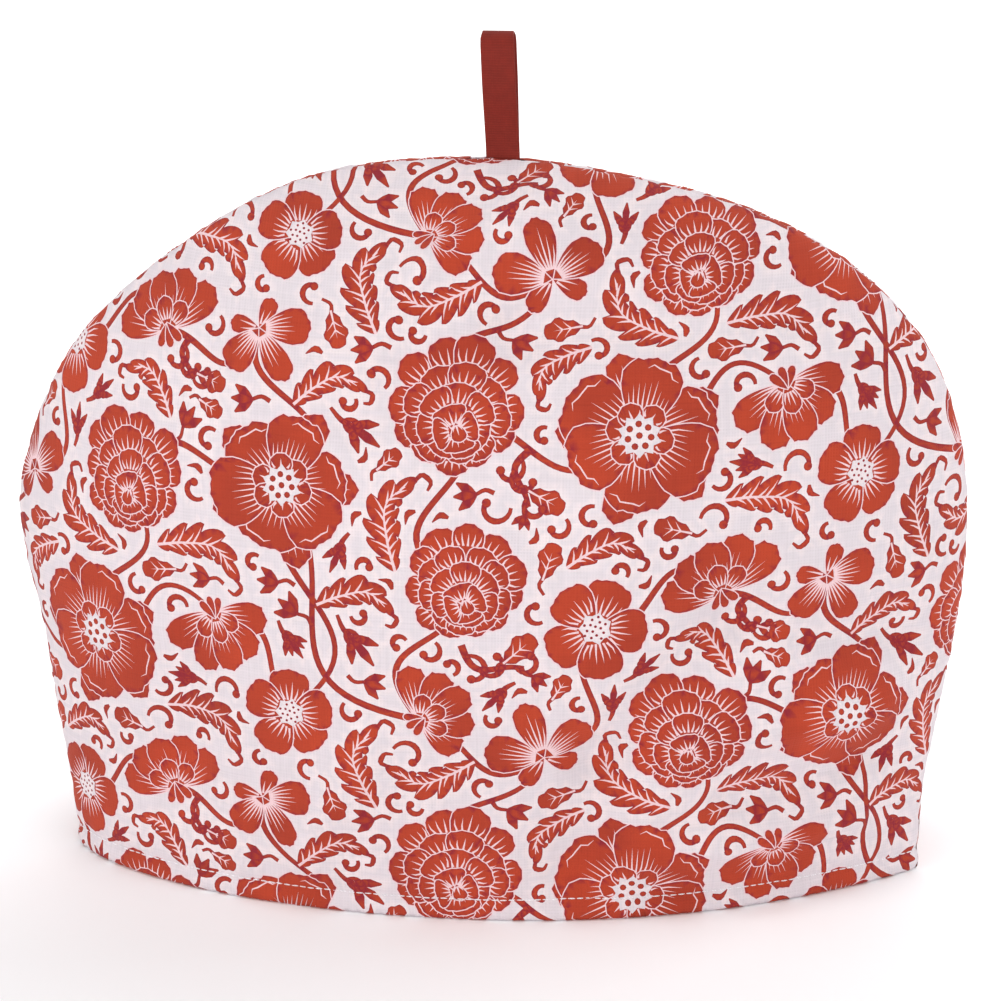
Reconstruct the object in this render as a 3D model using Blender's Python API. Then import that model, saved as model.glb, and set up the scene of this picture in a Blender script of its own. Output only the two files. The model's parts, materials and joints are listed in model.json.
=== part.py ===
"""Tea cosy: two puffed cloth panels sewn together over the top, with a ribbon loop in the seam.

Metres, +Z up. The cosy stands on its hem at z = 0, open underneath, and the origin is under the
middle of its box. X runs along its width, Y from front to back. Each panel is one closed solid of
cloth and wadding, turned in at the seam and hemmed at the bottom, and the loop is one strip of
ribbon, folded in two, whose ends go into the seam.

A panel is drawn flat, as it was cut, and then laid over the puffed form: a flat point has an
"across" distance from the middle line and an "up" distance from the hem, both along the cloth.
"""
import math

import bmesh
import bpy
import numpy as np
from mathutils import Vector
from mathutils.geometry import delaunay_2d_cdt

MM = 0.001

# Driving sizes of the whole cosy
SEAM_HEIGHT = 269.4 * MM          # top of the seam above the hem
HEM_DEPTH = 62.0 * MM             # how far a panel's hem bows out from the seam
BELLY_DEPTH = 71.0 * MM           # the same at the fullest height
BELLY_HEIGHT = 105.0 * MM         # where it is fullest
CLOTH_THICK = 4.0 * MM            # cotton outside, thin wadding, cotton inside
PIECE_GAP = 0.3 * MM              # between pieces that touch

# Half widths of the seam's outline, seen from the front, at each height
SEAM_COLUMNS = ("height", "left", "right")
SEAM_OUTLINE = (
    (0.0, 158.0, 163.2),
    (30.0, 161.0, 163.9),
    (60.0, 165.3, 167.8),
    (90.0, 168.8, 172.4),
    (118.0, 174.4, 175.6),
    (138.0, 175.9, 176.0),
    (160.0, 171.2, 174.4),
    (180.0, 163.4, 169.6),
    (200.0, 151.7, 161.2),
    (220.0, 132.2, 145.6),
    (240.0, 106.2, 120.2),
    (255.0, 81.0, 86.4),
    (264.5, 54.0, 45.0),
    (269.4, 0.0, 0.0),
)

# How full a panel is from seam to seam: 0.5 is an ellipse, 1 runs straight into the seam
SECTION_POWER = 2.1
SECTION_FULLNESS = 0.70
HEM_FULLNESS_LEFT = 0.68
HEM_FULLNESS_RIGHT = 0.95
HEM_FULLNESS_HEIGHT = 70.0 * MM   # above this the ends are evenly full

# The seam is drawn in a little between the two puffed edges
SEAM_DRAWN_IN = 1.2 * MM
SEAM_DRAWN_WIDTH = 1.7 * MM
DOME_CENTRE_HEIGHT = 110.0 * MM   # the seam is drawn in towards this height
SEAM_LEVEL_BELOW = 16.0 * MM      # below this it is drawn in more and more level, to stay on the floor

# The hem: turned up and stitched, so a band stands a little proud below the stitch line
STITCH_UP = 8.0 * MM
STITCH_SINK = 0.8 * MM
STITCH_WIDTH = 2.2 * MM
BAND_UP = 3.6 * MM
BAND_PROUD = 0.4 * MM
BAND_WIDTH = 3.0 * MM
HEM_THIN = 1.0 * MM               # the hem is pressed thinner than the panel by this
HEM_THIN_HEIGHT = 16.0 * MM

# Soft folds: a ridge (+) or hollow (-) along a line from one point to another, seen from the front
FOLD_COLUMNS = ("x0", "z0", "x1", "z1", "width", "proud")
FRONT_FOLDS = (
    (-40.0, 188.0, 12.0, 219.0, 13.0, -2.2),
    (12.0, 219.0, 112.0, 220.0, 12.0, -2.4),
    (22.0, 258.0, -18.0, 238.0, 8.0, 1.5),
    (-18.0, 238.0, -40.0, 205.0, 8.0, 1.6),
    (44.0, 160.0, 82.0, 184.0, 11.0, 2.2),
    (36.0, 20.0, 44.0, 62.0, 20.0, -3.0),
    (44.0, 62.0, 94.0, 120.0, 15.0, -2.6),
    (94.0, 112.0, 150.0, 102.0, 13.0, -2.2),
    (98.0, 72.0, 144.0, 74.0, 10.0, 2.2),
    (92.0, 44.0, 144.0, 54.0, 9.0, -2.2),
    (58.0, 22.0, 138.0, 30.0, 8.0, 1.8),
    (-62.0, 24.0, -40.0, 66.0, 14.0, 1.6),
    (-108.0, 40.0, -100.0, 120.0, 16.0, -1.8),
    (-120.0, 150.0, -70.0, 206.0, 15.0, 1.5),
)
BACK_FOLDS = (
    (-92.0, 206.0, -6.0, 222.0, 13.0, -2.3),
    (10.0, 256.0, 30.0, 214.0, 9.0, 1.6),
    (-60.0, 158.0, -20.0, 176.0, 12.0, 1.8),
    (30.0, 150.0, 96.0, 196.0, 14.0, -1.8),
    (-28.0, 22.0, -44.0, 74.0, 19.0, -2.8),
    (-44.0, 74.0, -112.0, 108.0, 15.0, -2.3),
    (-70.0, 44.0, -132.0, 58.0, 10.0, 2.0),
    (34.0, 30.0, 60.0, 96.0, 16.0, 1.8),
    (92.0, 34.0, 118.0, 104.0, 15.0, -2.2),
)
FOLD_FADE = 16.0 * MM             # folds die away this far from the seam and the hem

# The ribbon loop
RIBBON_WIDTH = 12.0 * MM
RIBBON_THICK = 1.0 * MM
LOOP_X = 5.5 * MM                 # where it leaves the seam
LOOP_LEAN = -1.8 * MM             # how far its top leans to the side
LOOP_TOP = 314.0 * MM
LOOP_RADIUS = 5.0 * MM            # of the ribbon's middle, over the top
LOOP_FOOT = 264.6 * MM            # the sewn-in ends reach down to here
LOOP_PARTS = 270.6 * MM           # above this the two halves part
LOOP_OPEN = 299.0 * MM            # here the loop has its full depth
POCKET_SLOPE = 1.3 * MM           # the seam closes again this far beside the ribbon

# Resolution of the meshes
TABLE_ROWS = 220
TABLE_COLUMNS = 121               # an odd number, so one column is the middle line
SECTION_SAMPLES = 361
SEAM_STEP = 11.5 * MM
HEM_ROWS = (0.0, 4.0, 8.0, 12.0, 21.0)
OUTER_RINGS = (3.0, 8.0, 18.0)
INNER_RINGS = (10.0,)
INNER_HEM_ROWS = (0.0, 10.0)
OUTER_STEP = 14.0 * MM
INNER_STEP = 21.0 * MM
LATTICE_MARGIN = 0.7              # of a step, between the middle's points and the rows at the edge
HEM_POINTS = 29                   # along the hem, without its corners
HEM_COLUMNS = 26                  # along the rows just above it
TINY = 1e-6
MERGE_DISTANCE = 1e-7
LEG_STEPS = 12
ARC_STEPS = 14

COTTON_COLOUR = (0.82, 0.52, 0.50, 1.0)
RIBBON_COLOUR = (0.23, 0.03, 0.02, 1.0)


def smooth(at, places, values):
    """Read a smooth curve through a table, with each row's slope taken from its neighbours."""
    slopes = np.gradient(values, places)
    row = np.clip(np.searchsorted(places, at) - 1, 0, len(places) - 2)
    step = places[row + 1] - places[row]
    t = (at - places[row]) / step
    start = (2 * t**3 - 3 * t**2 + 1) * values[row] + (t**3 - 2 * t**2 + t) * step * slopes[row]
    end = (3 * t**2 - 2 * t**3) * values[row + 1] + (t**3 - t**2) * step * slopes[row + 1]
    return start + end


def ease(t):
    """A soft step from 0 to 1."""
    t = np.clip(t, 0.0, 1.0)
    return t * t * (3 - 2 * t)


def bump(distance, width):
    """A soft bell, 1 at no distance."""
    return np.exp(-(distance / width) ** 2)


def seam_half_widths(height):
    """Half widths of the seam's outline, left and right, at the given heights."""
    rows = np.array(SEAM_OUTLINE) * MM
    # Near its top the outline is round, so it is smooth over the root of the height that is left
    left_over = np.sqrt(1 - rows[::-1, SEAM_COLUMNS.index("height")] / SEAM_HEIGHT)
    at = np.sqrt(1 - height / SEAM_HEIGHT)
    left = smooth(at, left_over, rows[::-1, SEAM_COLUMNS.index("left")])
    right = smooth(at, left_over, rows[::-1, SEAM_COLUMNS.index("right")])
    return left, right


def panel_depth(height):
    """How far the middle of a panel stands out from the seam at the given heights."""
    full = HEM_DEPTH + (BELLY_DEPTH - HEM_DEPTH) * ease(height / BELLY_HEIGHT)
    share = np.clip((height - BELLY_HEIGHT) / (SEAM_HEIGHT - BELLY_HEIGHT), 0.0, 1.0)
    return full * (1 - share**2) ** SECTION_FULLNESS


class Form:
    """The puffed form of one panel, before its folds: a table of points over the flat cloth."""

    def __init__(self):
        left_over = np.linspace(1.0, 0.0, TABLE_ROWS)
        height = SEAM_HEIGHT * (1 - left_over**2)
        left, right = seam_half_widths(height)
        left[-1] = right[-1] = 0.0
        depth = panel_depth(height)
        self.up = self.along(np.stack([0 * height, depth, height], axis=1))
        self.left, self.right = np.zeros(TABLE_ROWS), np.zeros(TABLE_ROWS)
        self.points = np.zeros((TABLE_ROWS, TABLE_COLUMNS, 3))
        turn = np.linspace(-math.pi / 2, math.pi / 2, SECTION_SAMPLES)
        share = np.sin(turn)
        for row in range(TABLE_ROWS):
            hem = 1 - ease(height[row] / HEM_FULLNESS_HEIGHT)
            ends = np.where(share < 0, HEM_FULLNESS_LEFT, HEM_FULLNESS_RIGHT)
            full = SECTION_FULLNESS + (ends - SECTION_FULLNESS) * hem
            x = np.where(share < 0, left[row], right[row]) * share
            y = -depth[row] * (1 - np.abs(share) ** SECTION_POWER).clip(0) ** full
            section = np.stack([x, y, np.full_like(x, height[row])], axis=1)
            across = self.along(section)
            across = across - across[SECTION_SAMPLES // 2]
            self.left[row], self.right[row] = -across[0], across[-1]
            sides = np.linspace(-1, 1, TABLE_COLUMNS)
            wanted = np.where(sides < 0, self.left[row], self.right[row]) * sides
            for axis in range(3):
                self.points[row, :, axis] = np.interp(wanted, across, section[:, axis])
        self.draw_in_seam()
        self.normals = self.find_normals()

    @staticmethod
    def along(points):
        """Distances along a row of points."""
        return np.concatenate([[0], np.cumsum(np.linalg.norm(np.diff(points, axis=0), axis=1))])

    def draw_in_seam(self):
        """Pull the seam line in between the two puffed edges, and leave the hem on the floor."""
        pts = self.points
        inward = -pts * (1, 0, 1) + (0, 0, DOME_CENTRE_HEIGHT)
        inward /= np.linalg.norm(inward, axis=2, keepdims=True)
        inward[..., 2] *= ease(pts[..., 2] / SEAM_LEVEL_BELOW)
        amount = SEAM_DRAWN_IN * bump(pts[..., 1], SEAM_DRAWN_WIDTH)
        self.points = pts + inward * amount[..., None]

    def find_normals(self):
        across = np.gradient(self.points, axis=1)
        up = np.gradient(self.points, axis=0)
        normals = np.cross(across, up)
        normals[-1] = (0, 0, 1)
        return normals / np.linalg.norm(normals, axis=2, keepdims=True)

    def read(self, across, up):
        """Points and normals of the form at flat places."""
        row = np.interp(up, self.up, np.arange(TABLE_ROWS))
        width = np.where(across < 0, np.interp(up, self.up, self.left), np.interp(up, self.up, self.right))
        side = np.clip(across / np.maximum(width, TINY), -1, 1)
        column = (side + 1) / 2 * (TABLE_COLUMNS - 1)
        low_row = np.minimum(row.astype(int), TABLE_ROWS - 2)
        low_column = np.minimum(column.astype(int), TABLE_COLUMNS - 2)
        r, c = (row - low_row)[:, None], (column - low_column)[:, None]
        found = []
        for table in (self.points, self.normals):
            low = table[low_row, low_column] * (1 - c) + table[low_row, low_column + 1] * c
            high = table[low_row + 1, low_column] * (1 - c) + table[low_row + 1, low_column + 1] * c
            found.append(low * (1 - r) + high * r)
        points, normals = found
        return points, normals / np.linalg.norm(normals, axis=1, keepdims=True)


def fold_relief(points, folds, edge_distance):
    """How far the folds lift the cloth at the given points."""
    lift = np.zeros(len(points))
    place = points[:, (0, 2)]
    for fold in folds:
        row = dict(zip(FOLD_COLUMNS, np.array(fold) * MM))
        start = np.array((row["x0"], row["z0"]))
        run = np.array((row["x1"], row["z1"])) - start
        share = np.clip((place - start) @ run / (run @ run), 0, 1)
        distance = np.linalg.norm(place - start - share[:, None] * run, axis=1)
        lift += row["proud"] * bump(distance, row["width"])
    return lift * ease(edge_distance / FOLD_FADE)


def hem_relief(up):
    """How far the stitch line sinks and the band below it stands proud."""
    sink = -STITCH_SINK * bump(up - STITCH_UP, STITCH_WIDTH)
    return sink + BAND_PROUD * bump(up - BAND_UP, BAND_WIDTH)


def seam_side(form, column, width):
    """Flat points up one side of the sewn edge, from the hem to where the ribbon's pocket begins."""
    length = form.along(form.points[:, column])
    hem = np.interp(np.array(HEM_ROWS) * MM, form.up, length)
    count = round((length[-1] - hem[-1]) / SEAM_STEP)
    at = np.concatenate([hem, np.linspace(hem[-1], length[-1], count + 1)[1:-1]])
    x = np.interp(at, length, form.points[:, column, 0])
    clear = np.abs(x - LOOP_X) > RIBBON_WIDTH / 2 + PIECE_GAP + POCKET_SLOPE + SEAM_STEP / 2
    return np.stack([np.interp(at, length, width), np.interp(at, length, form.up)], axis=1)[clear]


def pocket_edge(form):
    """Flat points at the top of the sewn edge, where it makes room for the ribbon's ends."""
    half = RIBBON_WIDTH / 2 + PIECE_GAP
    rows = np.arange(TABLE_ROWS)
    edge = []
    for beside in (-half - POCKET_SLOPE, -half, 0.0, half, half + POCKET_SLOPE):
        x = LOOP_X + beside
        column, width = (0, -form.left) if x < 0 else (-1, form.right)
        row = np.interp(-abs(x), -np.abs(form.points[:, column, 0]), rows)
        edge.append((np.interp(row, rows, width), np.interp(row, rows, form.up)))
    return np.array(edge)


def seam_route(form):
    """Flat points of the sewn edge, from the left hem corner over the top to the right one."""
    left = seam_side(form, 0, -form.left)
    right = seam_side(form, -1, form.right)
    return np.concatenate([left, pocket_edge(form), right[::-1]])


def flat_points(form, rings, hem_rows, step):
    """The flat panel's points: its edge, then rows along the seam and the hem, then the middle."""
    seam = seam_route(form)
    across = np.linspace(form.right[0], -form.left[0], HEM_POINTS + 2)[1:-1]
    hem = np.stack([across, 0 * across], axis=1)
    boundary = np.concatenate([seam, hem])
    tangent = np.gradient(seam, axis=0)
    inward = np.stack([tangent[:, 1], -tangent[:, 0]], axis=1)
    inward /= np.linalg.norm(inward, axis=1, keepdims=True)
    above = seam[:, 1] > hem_rows[-1] * MM + TINY
    ring_in = np.array(rings) * MM
    inner = [seam[above] + inward[above] * ring for ring in ring_in]
    for up in np.array(hem_rows[1:]) * MM:
        left = -np.interp(up, form.up, form.left)
        right = np.interp(up, form.up, form.right)
        middle = np.linspace(left + 2 * ring_in[-1], right - 2 * ring_in[-1], HEM_COLUMNS)
        across = np.concatenate([left + ring_in, middle, right - ring_in])
        inner.append(np.stack([across, np.full_like(across, up)], axis=1))
    seam_margin = ring_in[-1] + LATTICE_MARGIN * step
    lowest = hem_rows[-1] * MM + LATTICE_MARGIN * step
    inner.append(lattice(form, seam, seam_margin, lowest, step))
    return boundary, np.concatenate(inner), len(seam)


def lattice(form, seam, margin, lowest, step):
    """Evenly spread points inside the panel, in staggered rows."""
    found = []
    for row, up in enumerate(np.arange(lowest, form.up[-1], step * math.sqrt(0.75))):
        across = np.arange(-form.left.max(), form.right.max(), step) + step / 2 * (row % 2)
        found.append(np.stack([across, np.full_like(across, up)], axis=1))
    points = np.concatenate(found)
    left = np.interp(points[:, 1], form.up, form.left)
    right = np.interp(points[:, 1], form.up, form.right)
    points = points[(points[:, 0] > -left) & (points[:, 0] < right)]
    apart = np.linalg.norm(points[:, None] - seam[None], axis=2).min(axis=1)
    return points[apart > margin]


def triangulate(boundary, inner):
    """Join flat points in triangles; the boundary's points keep their order."""
    points = [Vector(p) for p in np.concatenate([boundary, inner])]
    outline = [list(range(len(boundary)))[::-1]]
    coords, _, faces, sources, _, owners = delaunay_2d_cdt(points, [], outline, 1, MERGE_DISTANCE, True)
    # The hull's faces outside the outline have no owner
    faces = [face for face, owner in zip(faces, owners) if owner]
    index = {source: here for here, found in enumerate(sources) for source in found}
    edge = [index[i] for i in range(len(boundary))]
    return np.array([tuple(c) for c in coords]), faces, edge


def shape_cloth(form, flat, folds, thickness_share):
    """The panel's face at flat points: its form and folds, and inward by a share of its thickness."""
    across, up = flat[:, 0], flat[:, 1]
    points, normals = form.read(across, up)
    width = np.where(across < 0, np.interp(up, form.up, form.left), np.interp(up, form.up, form.right))
    edge = np.minimum(np.minimum(width - np.abs(across), form.up[-1] - up), up)
    lift = fold_relief(points, folds, edge) + hem_relief(up)
    thick = CLOTH_THICK - HEM_THIN * (1 - ease(up / HEM_THIN_HEIGHT))
    points = points + normals * (lift - thick * thickness_share)[:, None]
    points[:, 1] = np.minimum(points[:, 1], -PIECE_GAP)
    return points


def seat_edges(points, edge, seam_count):
    """Put the sewn edge on the seam's plane, with room for the ribbon, and the hem on the floor."""
    half = RIBBON_WIDTH / 2 + PIECE_GAP
    for place, here in enumerate(edge):
        if place < seam_count:
            beside = abs(points[here, 0] - LOOP_X) - half
            at_top = points[here, 2] > DOME_CENTRE_HEIGHT
            room = 1 - min(max(beside / POCKET_SLOPE, 0), 1) if at_top else 0
            ribbon = RIBBON_THICK + PIECE_GAP
            points[here, 1] = -PIECE_GAP / 2 - ribbon * room
        if place >= seam_count - 1 or place == 0:
            points[here, 2] = 0.0


def panel_mesh(form, folds, back):
    """Points and faces of one panel: outer face, inner face, and the turned-in edge between them."""
    sheets = []
    for share, rings, hem_rows, step in (
        (0.0, OUTER_RINGS, HEM_ROWS, OUTER_STEP),
        (1.0, INNER_RINGS, INNER_HEM_ROWS, INNER_STEP),
    ):
        boundary, inner, seam_count = flat_points(form, rings, hem_rows, step)
        flat, faces, edge = triangulate(boundary, inner)
        points = shape_cloth(form, flat, folds, share)
        seat_edges(points, edge, seam_count)
        sheets.append((points, faces, edge))
    (outer, outer_faces, outer_edge), (inside, inside_faces, inside_edge) = sheets
    points = np.concatenate([outer, inside])
    shift = len(outer)
    faces = [tuple(face) for face in outer_faces]
    faces += [tuple(i + shift for i in reversed(face)) for face in inside_faces]
    count = len(outer_edge)
    for i in range(count):
        j = (i + 1) % count
        faces.append((outer_edge[i], outer_edge[j], inside_edge[j] + shift, inside_edge[i] + shift))
    if back:
        points = points * (1, -1, 1)
        faces = [tuple(reversed(face)) for face in faces]
    return points, faces


def loop_route():
    """The middle of the ribbon, seen from the side: up the front, over the top and down the back."""
    near = PIECE_GAP / 2 + RIBBON_THICK / 2
    shoulder = LOOP_TOP - RIBBON_THICK / 2 - LOOP_RADIUS
    heights = np.linspace(LOOP_FOOT, shoulder, LEG_STEPS + 1)
    half = near + (LOOP_RADIUS - near) * ease((heights - LOOP_PARTS) / (LOOP_OPEN - LOOP_PARTS))
    front = np.stack([-half, heights], axis=1)
    turn = np.linspace(0, math.pi, ARC_STEPS + 1)[1:-1]
    over = np.stack([-LOOP_RADIUS * np.cos(turn), shoulder + LOOP_RADIUS * np.sin(turn)], axis=1)
    return np.concatenate([front, over, front[::-1] * (-1, 1)])


def loop_mesh():
    """Points and faces of the ribbon loop: a strip with its width along X."""
    route = loop_route()
    run = np.gradient(route, axis=0)
    run /= np.linalg.norm(run, axis=1, keepdims=True)
    outward = np.stack([-run[:, 1], run[:, 0]], axis=1)
    points, faces = [], []
    for (y, z), (ny, nz) in zip(route, outward):
        lean = LOOP_X + LOOP_LEAN * max(z - SEAM_HEIGHT, 0) / (LOOP_TOP - SEAM_HEIGHT)
        for across, off in ((-1, 1), (1, 1), (1, -1), (-1, -1)):
            x = lean + across * RIBBON_WIDTH / 2
            points.append((x, y + ny * off * RIBBON_THICK / 2, z + nz * off * RIBBON_THICK / 2))
    for i in range(len(route) - 1):
        here, there = 4 * i, 4 * (i + 1)
        for side in range(4):
            following = (side + 1) % 4
            faces.append((here + side, here + following, there + following, there + side))
    last = 4 * (len(route) - 1)
    faces.append((3, 2, 1, 0))
    faces.append((last, last + 1, last + 2, last + 3))
    return np.array(points), faces


def cloth_material(name, colour, roughness):
    material = bpy.data.materials.new(name)
    material.use_nodes = True
    shader = material.node_tree.nodes["Principled BSDF"]
    shader.inputs["Base Color"].default_value = colour
    shader.inputs["Roughness"].default_value = roughness
    material.diffuse_color = colour
    return material


def add_piece(name, points, faces, material):
    """Make one closed, smooth-shaded object from points and faces."""
    mesh = bpy.data.meshes.new(name)
    mesh.from_pydata([tuple(p) for p in points], [], faces)
    shape = bmesh.new()
    shape.from_mesh(mesh)
    bmesh.ops.recalc_face_normals(shape, faces=shape.faces)
    shape.to_mesh(mesh)
    shape.free()
    mesh.shade_smooth()
    mesh.set_sharp_from_angle(angle=math.radians(50))
    mesh.materials.append(material)
    piece = bpy.data.objects.new(name, mesh)
    bpy.context.scene.collection.objects.link(piece)
    return piece


def build():
    for old in list(bpy.data.objects):
        bpy.data.objects.remove(old)
    cotton = cloth_material("printed_cotton", COTTON_COLOUR, 0.9)
    ribbon = cloth_material("ribbed_ribbon", RIBBON_COLOUR, 0.6)
    form = Form()
    meshes = {
        "panel_front": panel_mesh(form, FRONT_FOLDS, back=False) + (cotton,),
        "panel_back": panel_mesh(form, BACK_FOLDS, back=True) + (cotton,),
        "tab_loop": loop_mesh() + (ribbon,),
    }
    everything = np.concatenate([points for points, _, _ in meshes.values()])
    middle = (everything.min(axis=0) + everything.max(axis=0)) / 2 * (1, 1, 0)
    for name, (points, faces, material) in meshes.items():
        add_piece(name, points - middle, faces, material)


build()
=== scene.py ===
"""Tea cosy: a puffed dome of printed cotton, hemmed and stitched, with a ribbon loop in its seam.

Metres, +Z up, around the frame that is loaded at the top. Each panel is drawn flat, as it was cut:
its print is laid on the flat cloth in millimetres, the cloth and the print are cut in triangles
together, and the whole is then laid over the panel's puffed form and its folds. A flat point has an
"across" distance from the middle line and an "up" distance from the hem, both along the cloth.
"""
import json
import math

import bpy
import numpy as np
from bpy.props import FloatProperty, FloatVectorProperty, IntProperty, PointerProperty
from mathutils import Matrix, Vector
from mathutils.geometry import delaunay_2d_cdt
from mathutils.kdtree import KDTree

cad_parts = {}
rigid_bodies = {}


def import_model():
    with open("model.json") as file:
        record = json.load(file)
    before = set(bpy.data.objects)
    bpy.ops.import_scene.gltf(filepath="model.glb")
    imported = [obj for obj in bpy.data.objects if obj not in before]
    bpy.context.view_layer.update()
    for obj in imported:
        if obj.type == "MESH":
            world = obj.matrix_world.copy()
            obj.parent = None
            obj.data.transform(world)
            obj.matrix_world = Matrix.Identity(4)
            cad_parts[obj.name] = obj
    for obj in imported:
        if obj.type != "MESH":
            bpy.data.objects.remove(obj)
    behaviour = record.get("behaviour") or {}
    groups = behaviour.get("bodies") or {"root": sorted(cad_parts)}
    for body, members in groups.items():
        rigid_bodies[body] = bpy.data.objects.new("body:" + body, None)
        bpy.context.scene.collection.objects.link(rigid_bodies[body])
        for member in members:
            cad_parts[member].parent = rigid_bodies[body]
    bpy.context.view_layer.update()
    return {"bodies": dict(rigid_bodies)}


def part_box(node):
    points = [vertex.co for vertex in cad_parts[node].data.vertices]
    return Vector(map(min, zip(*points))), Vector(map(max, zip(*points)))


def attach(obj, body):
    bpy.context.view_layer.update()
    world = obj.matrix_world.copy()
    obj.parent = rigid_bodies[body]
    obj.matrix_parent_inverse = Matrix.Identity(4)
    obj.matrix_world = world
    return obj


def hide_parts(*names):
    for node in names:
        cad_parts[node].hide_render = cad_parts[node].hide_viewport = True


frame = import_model()

bl_info = {
    "name": "Tea cosy",
    "version": (1, 0, 0),
    "blender": (4, 5, 0),
    "location": "3D View > Sidebar > Tea cosy",
    "description": "Makes a padded tea cosy of printed cotton with a ribbon loop, and its studio",
    "category": "Add Mesh",
}

BODY = next(iter(frame["bodies"]))
MM = 0.001

# The seam's outline from the front, and the depth of the panels: the same sizes as the solids
SEAM_HEIGHT = 269.4 * MM
HEM_DEPTH = 62.0 * MM
BELLY_DEPTH = 71.0 * MM
BELLY_HEIGHT = 105.0 * MM
CLOTH_THICK = 4.0 * MM
PIECE_GAP = 0.3 * MM
SEAM_COLUMNS = ("height", "left", "right")
SEAM_OUTLINE = (
    (0.0, 158.0, 163.2),
    (30.0, 161.0, 163.9),
    (60.0, 165.3, 167.8),
    (90.0, 168.8, 172.4),
    (118.0, 174.4, 175.6),
    (138.0, 175.9, 176.0),
    (160.0, 171.2, 174.4),
    (180.0, 163.4, 169.6),
    (200.0, 151.7, 161.2),
    (220.0, 132.2, 145.6),
    (240.0, 106.2, 120.2),
    (255.0, 81.0, 86.4),
    (264.5, 54.0, 45.0),
    (269.4, 0.0, 0.0),
)
SECTION_POWER = 2.1
SECTION_FULLNESS = 0.70
HEM_FULLNESS_LEFT = 0.68
HEM_FULLNESS_RIGHT = 0.95
HEM_FULLNESS_HEIGHT = 70.0 * MM
SEAM_DRAWN_IN = 1.2 * MM
SEAM_DRAWN_WIDTH = 1.7 * MM
DOME_CENTRE_HEIGHT = 110.0 * MM
SEAM_LEVEL_BELOW = 16.0 * MM

# The hem, with a rounded fold at its foot
STITCH_UP = 8.0 * MM
STITCH_SINK = 0.8 * MM
STITCH_WIDTH = 2.2 * MM
BAND_UP = 3.6 * MM
BAND_PROUD = 0.4 * MM
BAND_WIDTH = 3.0 * MM
HEM_THIN = 1.0 * MM
HEM_THIN_HEIGHT = 16.0 * MM
HEM_ROUND = 1.3 * MM

# Soft folds: a ridge (+) or trough (-) along a line, seen from the front, in millimetres
FOLD_COLUMNS = ("x0", "z0", "x1", "z1", "width", "proud")
FRONT_FOLDS = (
    (-40.0, 188.0, 12.0, 219.0, 13.0, -2.2),
    (12.0, 219.0, 112.0, 220.0, 12.0, -2.4),
    (22.0, 258.0, -18.0, 238.0, 8.0, 1.5),
    (-18.0, 238.0, -40.0, 205.0, 8.0, 1.6),
    (44.0, 160.0, 82.0, 184.0, 11.0, 2.2),
    (36.0, 20.0, 44.0, 62.0, 20.0, -3.0),
    (44.0, 62.0, 94.0, 120.0, 15.0, -2.6),
    (94.0, 112.0, 150.0, 102.0, 13.0, -2.2),
    (98.0, 72.0, 144.0, 74.0, 10.0, 2.2),
    (92.0, 44.0, 144.0, 54.0, 9.0, -2.2),
    (58.0, 22.0, 138.0, 30.0, 8.0, 1.8),
    (-62.0, 24.0, -40.0, 66.0, 14.0, 1.6),
    (-108.0, 40.0, -100.0, 120.0, 16.0, -1.8),
    (-120.0, 150.0, -70.0, 206.0, 15.0, 1.5),
)
BACK_FOLDS = (
    (-92.0, 206.0, -6.0, 222.0, 13.0, -2.3),
    (10.0, 256.0, 30.0, 214.0, 9.0, 1.6),
    (-60.0, 158.0, -20.0, 176.0, 12.0, 1.8),
    (30.0, 150.0, 96.0, 196.0, 14.0, -1.8),
    (-28.0, 22.0, -44.0, 74.0, 19.0, -2.8),
    (-44.0, 74.0, -112.0, 108.0, 15.0, -2.3),
    (-70.0, 44.0, -132.0, 58.0, 10.0, 2.0),
    (34.0, 30.0, 60.0, 96.0, 16.0, 1.8),
    (92.0, 34.0, 118.0, 104.0, 15.0, -2.2),
)
FOLD_FADE = 16.0 * MM

# The thin cloth takes the same folds deeper and sharper than the solids, with hollows and fine
# creases of its own, in the same columns
FOLD_DEEPENING = 1.7
FOLD_NARROWING = 0.76
FRONT_CREASES = (
    (10.0, 208.0, 78.0, 210.0, 20.0, -1.3),
    (58.0, 152.0, 98.0, 170.0, 17.0, 1.8),
    (40.0, 18.0, 50.0, 60.0, 12.0, -0.6),
    (84.0, 106.0, 98.0, 116.0, 12.0, -0.7),
    (118.0, 102.0, 152.0, 98.0, 12.0, -1.2),
    (94.0, 57.0, 144.0, 63.0, 8.0, -1.2),
    (16.0, 256.0, 12.0, 226.0, 6.0, 1.2),
    (-8.0, 206.0, 22.0, 212.0, 5.0, -0.7),
    (60.0, 226.0, 104.0, 214.0, 5.0, 0.7),
    (-32.0, 170.0, -8.0, 190.0, 6.0, 0.6),
    (52.0, 84.0, 84.0, 112.0, 6.0, -0.8),
    (98.0, 88.0, 142.0, 92.0, 5.0, 0.6),
    (104.0, 58.0, 140.0, 64.0, 5.0, 0.5),
    (66.0, 34.0, 96.0, 40.0, 5.0, -0.6),
    (-140.0, 96.0, -112.0, 104.0, 7.0, 0.5),
    (-30.0, 14.0, -16.0, 44.0, 6.0, 0.5),
)
BACK_CREASES = (
    (-74.0, 206.0, -8.0, 210.0, 19.0, -1.4),
    (-34.0, 20.0, -46.0, 62.0, 12.0, -0.6),
    (-96.0, 112.0, -140.0, 100.0, 12.0, -1.0),
    (40.0, 140.0, 88.0, 168.0, 16.0, 1.6),
    (-30.0, 214.0, 8.0, 208.0, 5.0, -0.6),
    (48.0, 168.0, 84.0, 186.0, 6.0, 0.6),
    (-60.0, 86.0, -96.0, 104.0, 6.0, -0.7),
    (-84.0, 36.0, -124.0, 46.0, 5.0, 0.5),
    (100.0, 60.0, 122.0, 88.0, 6.0, 0.6),
)

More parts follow.
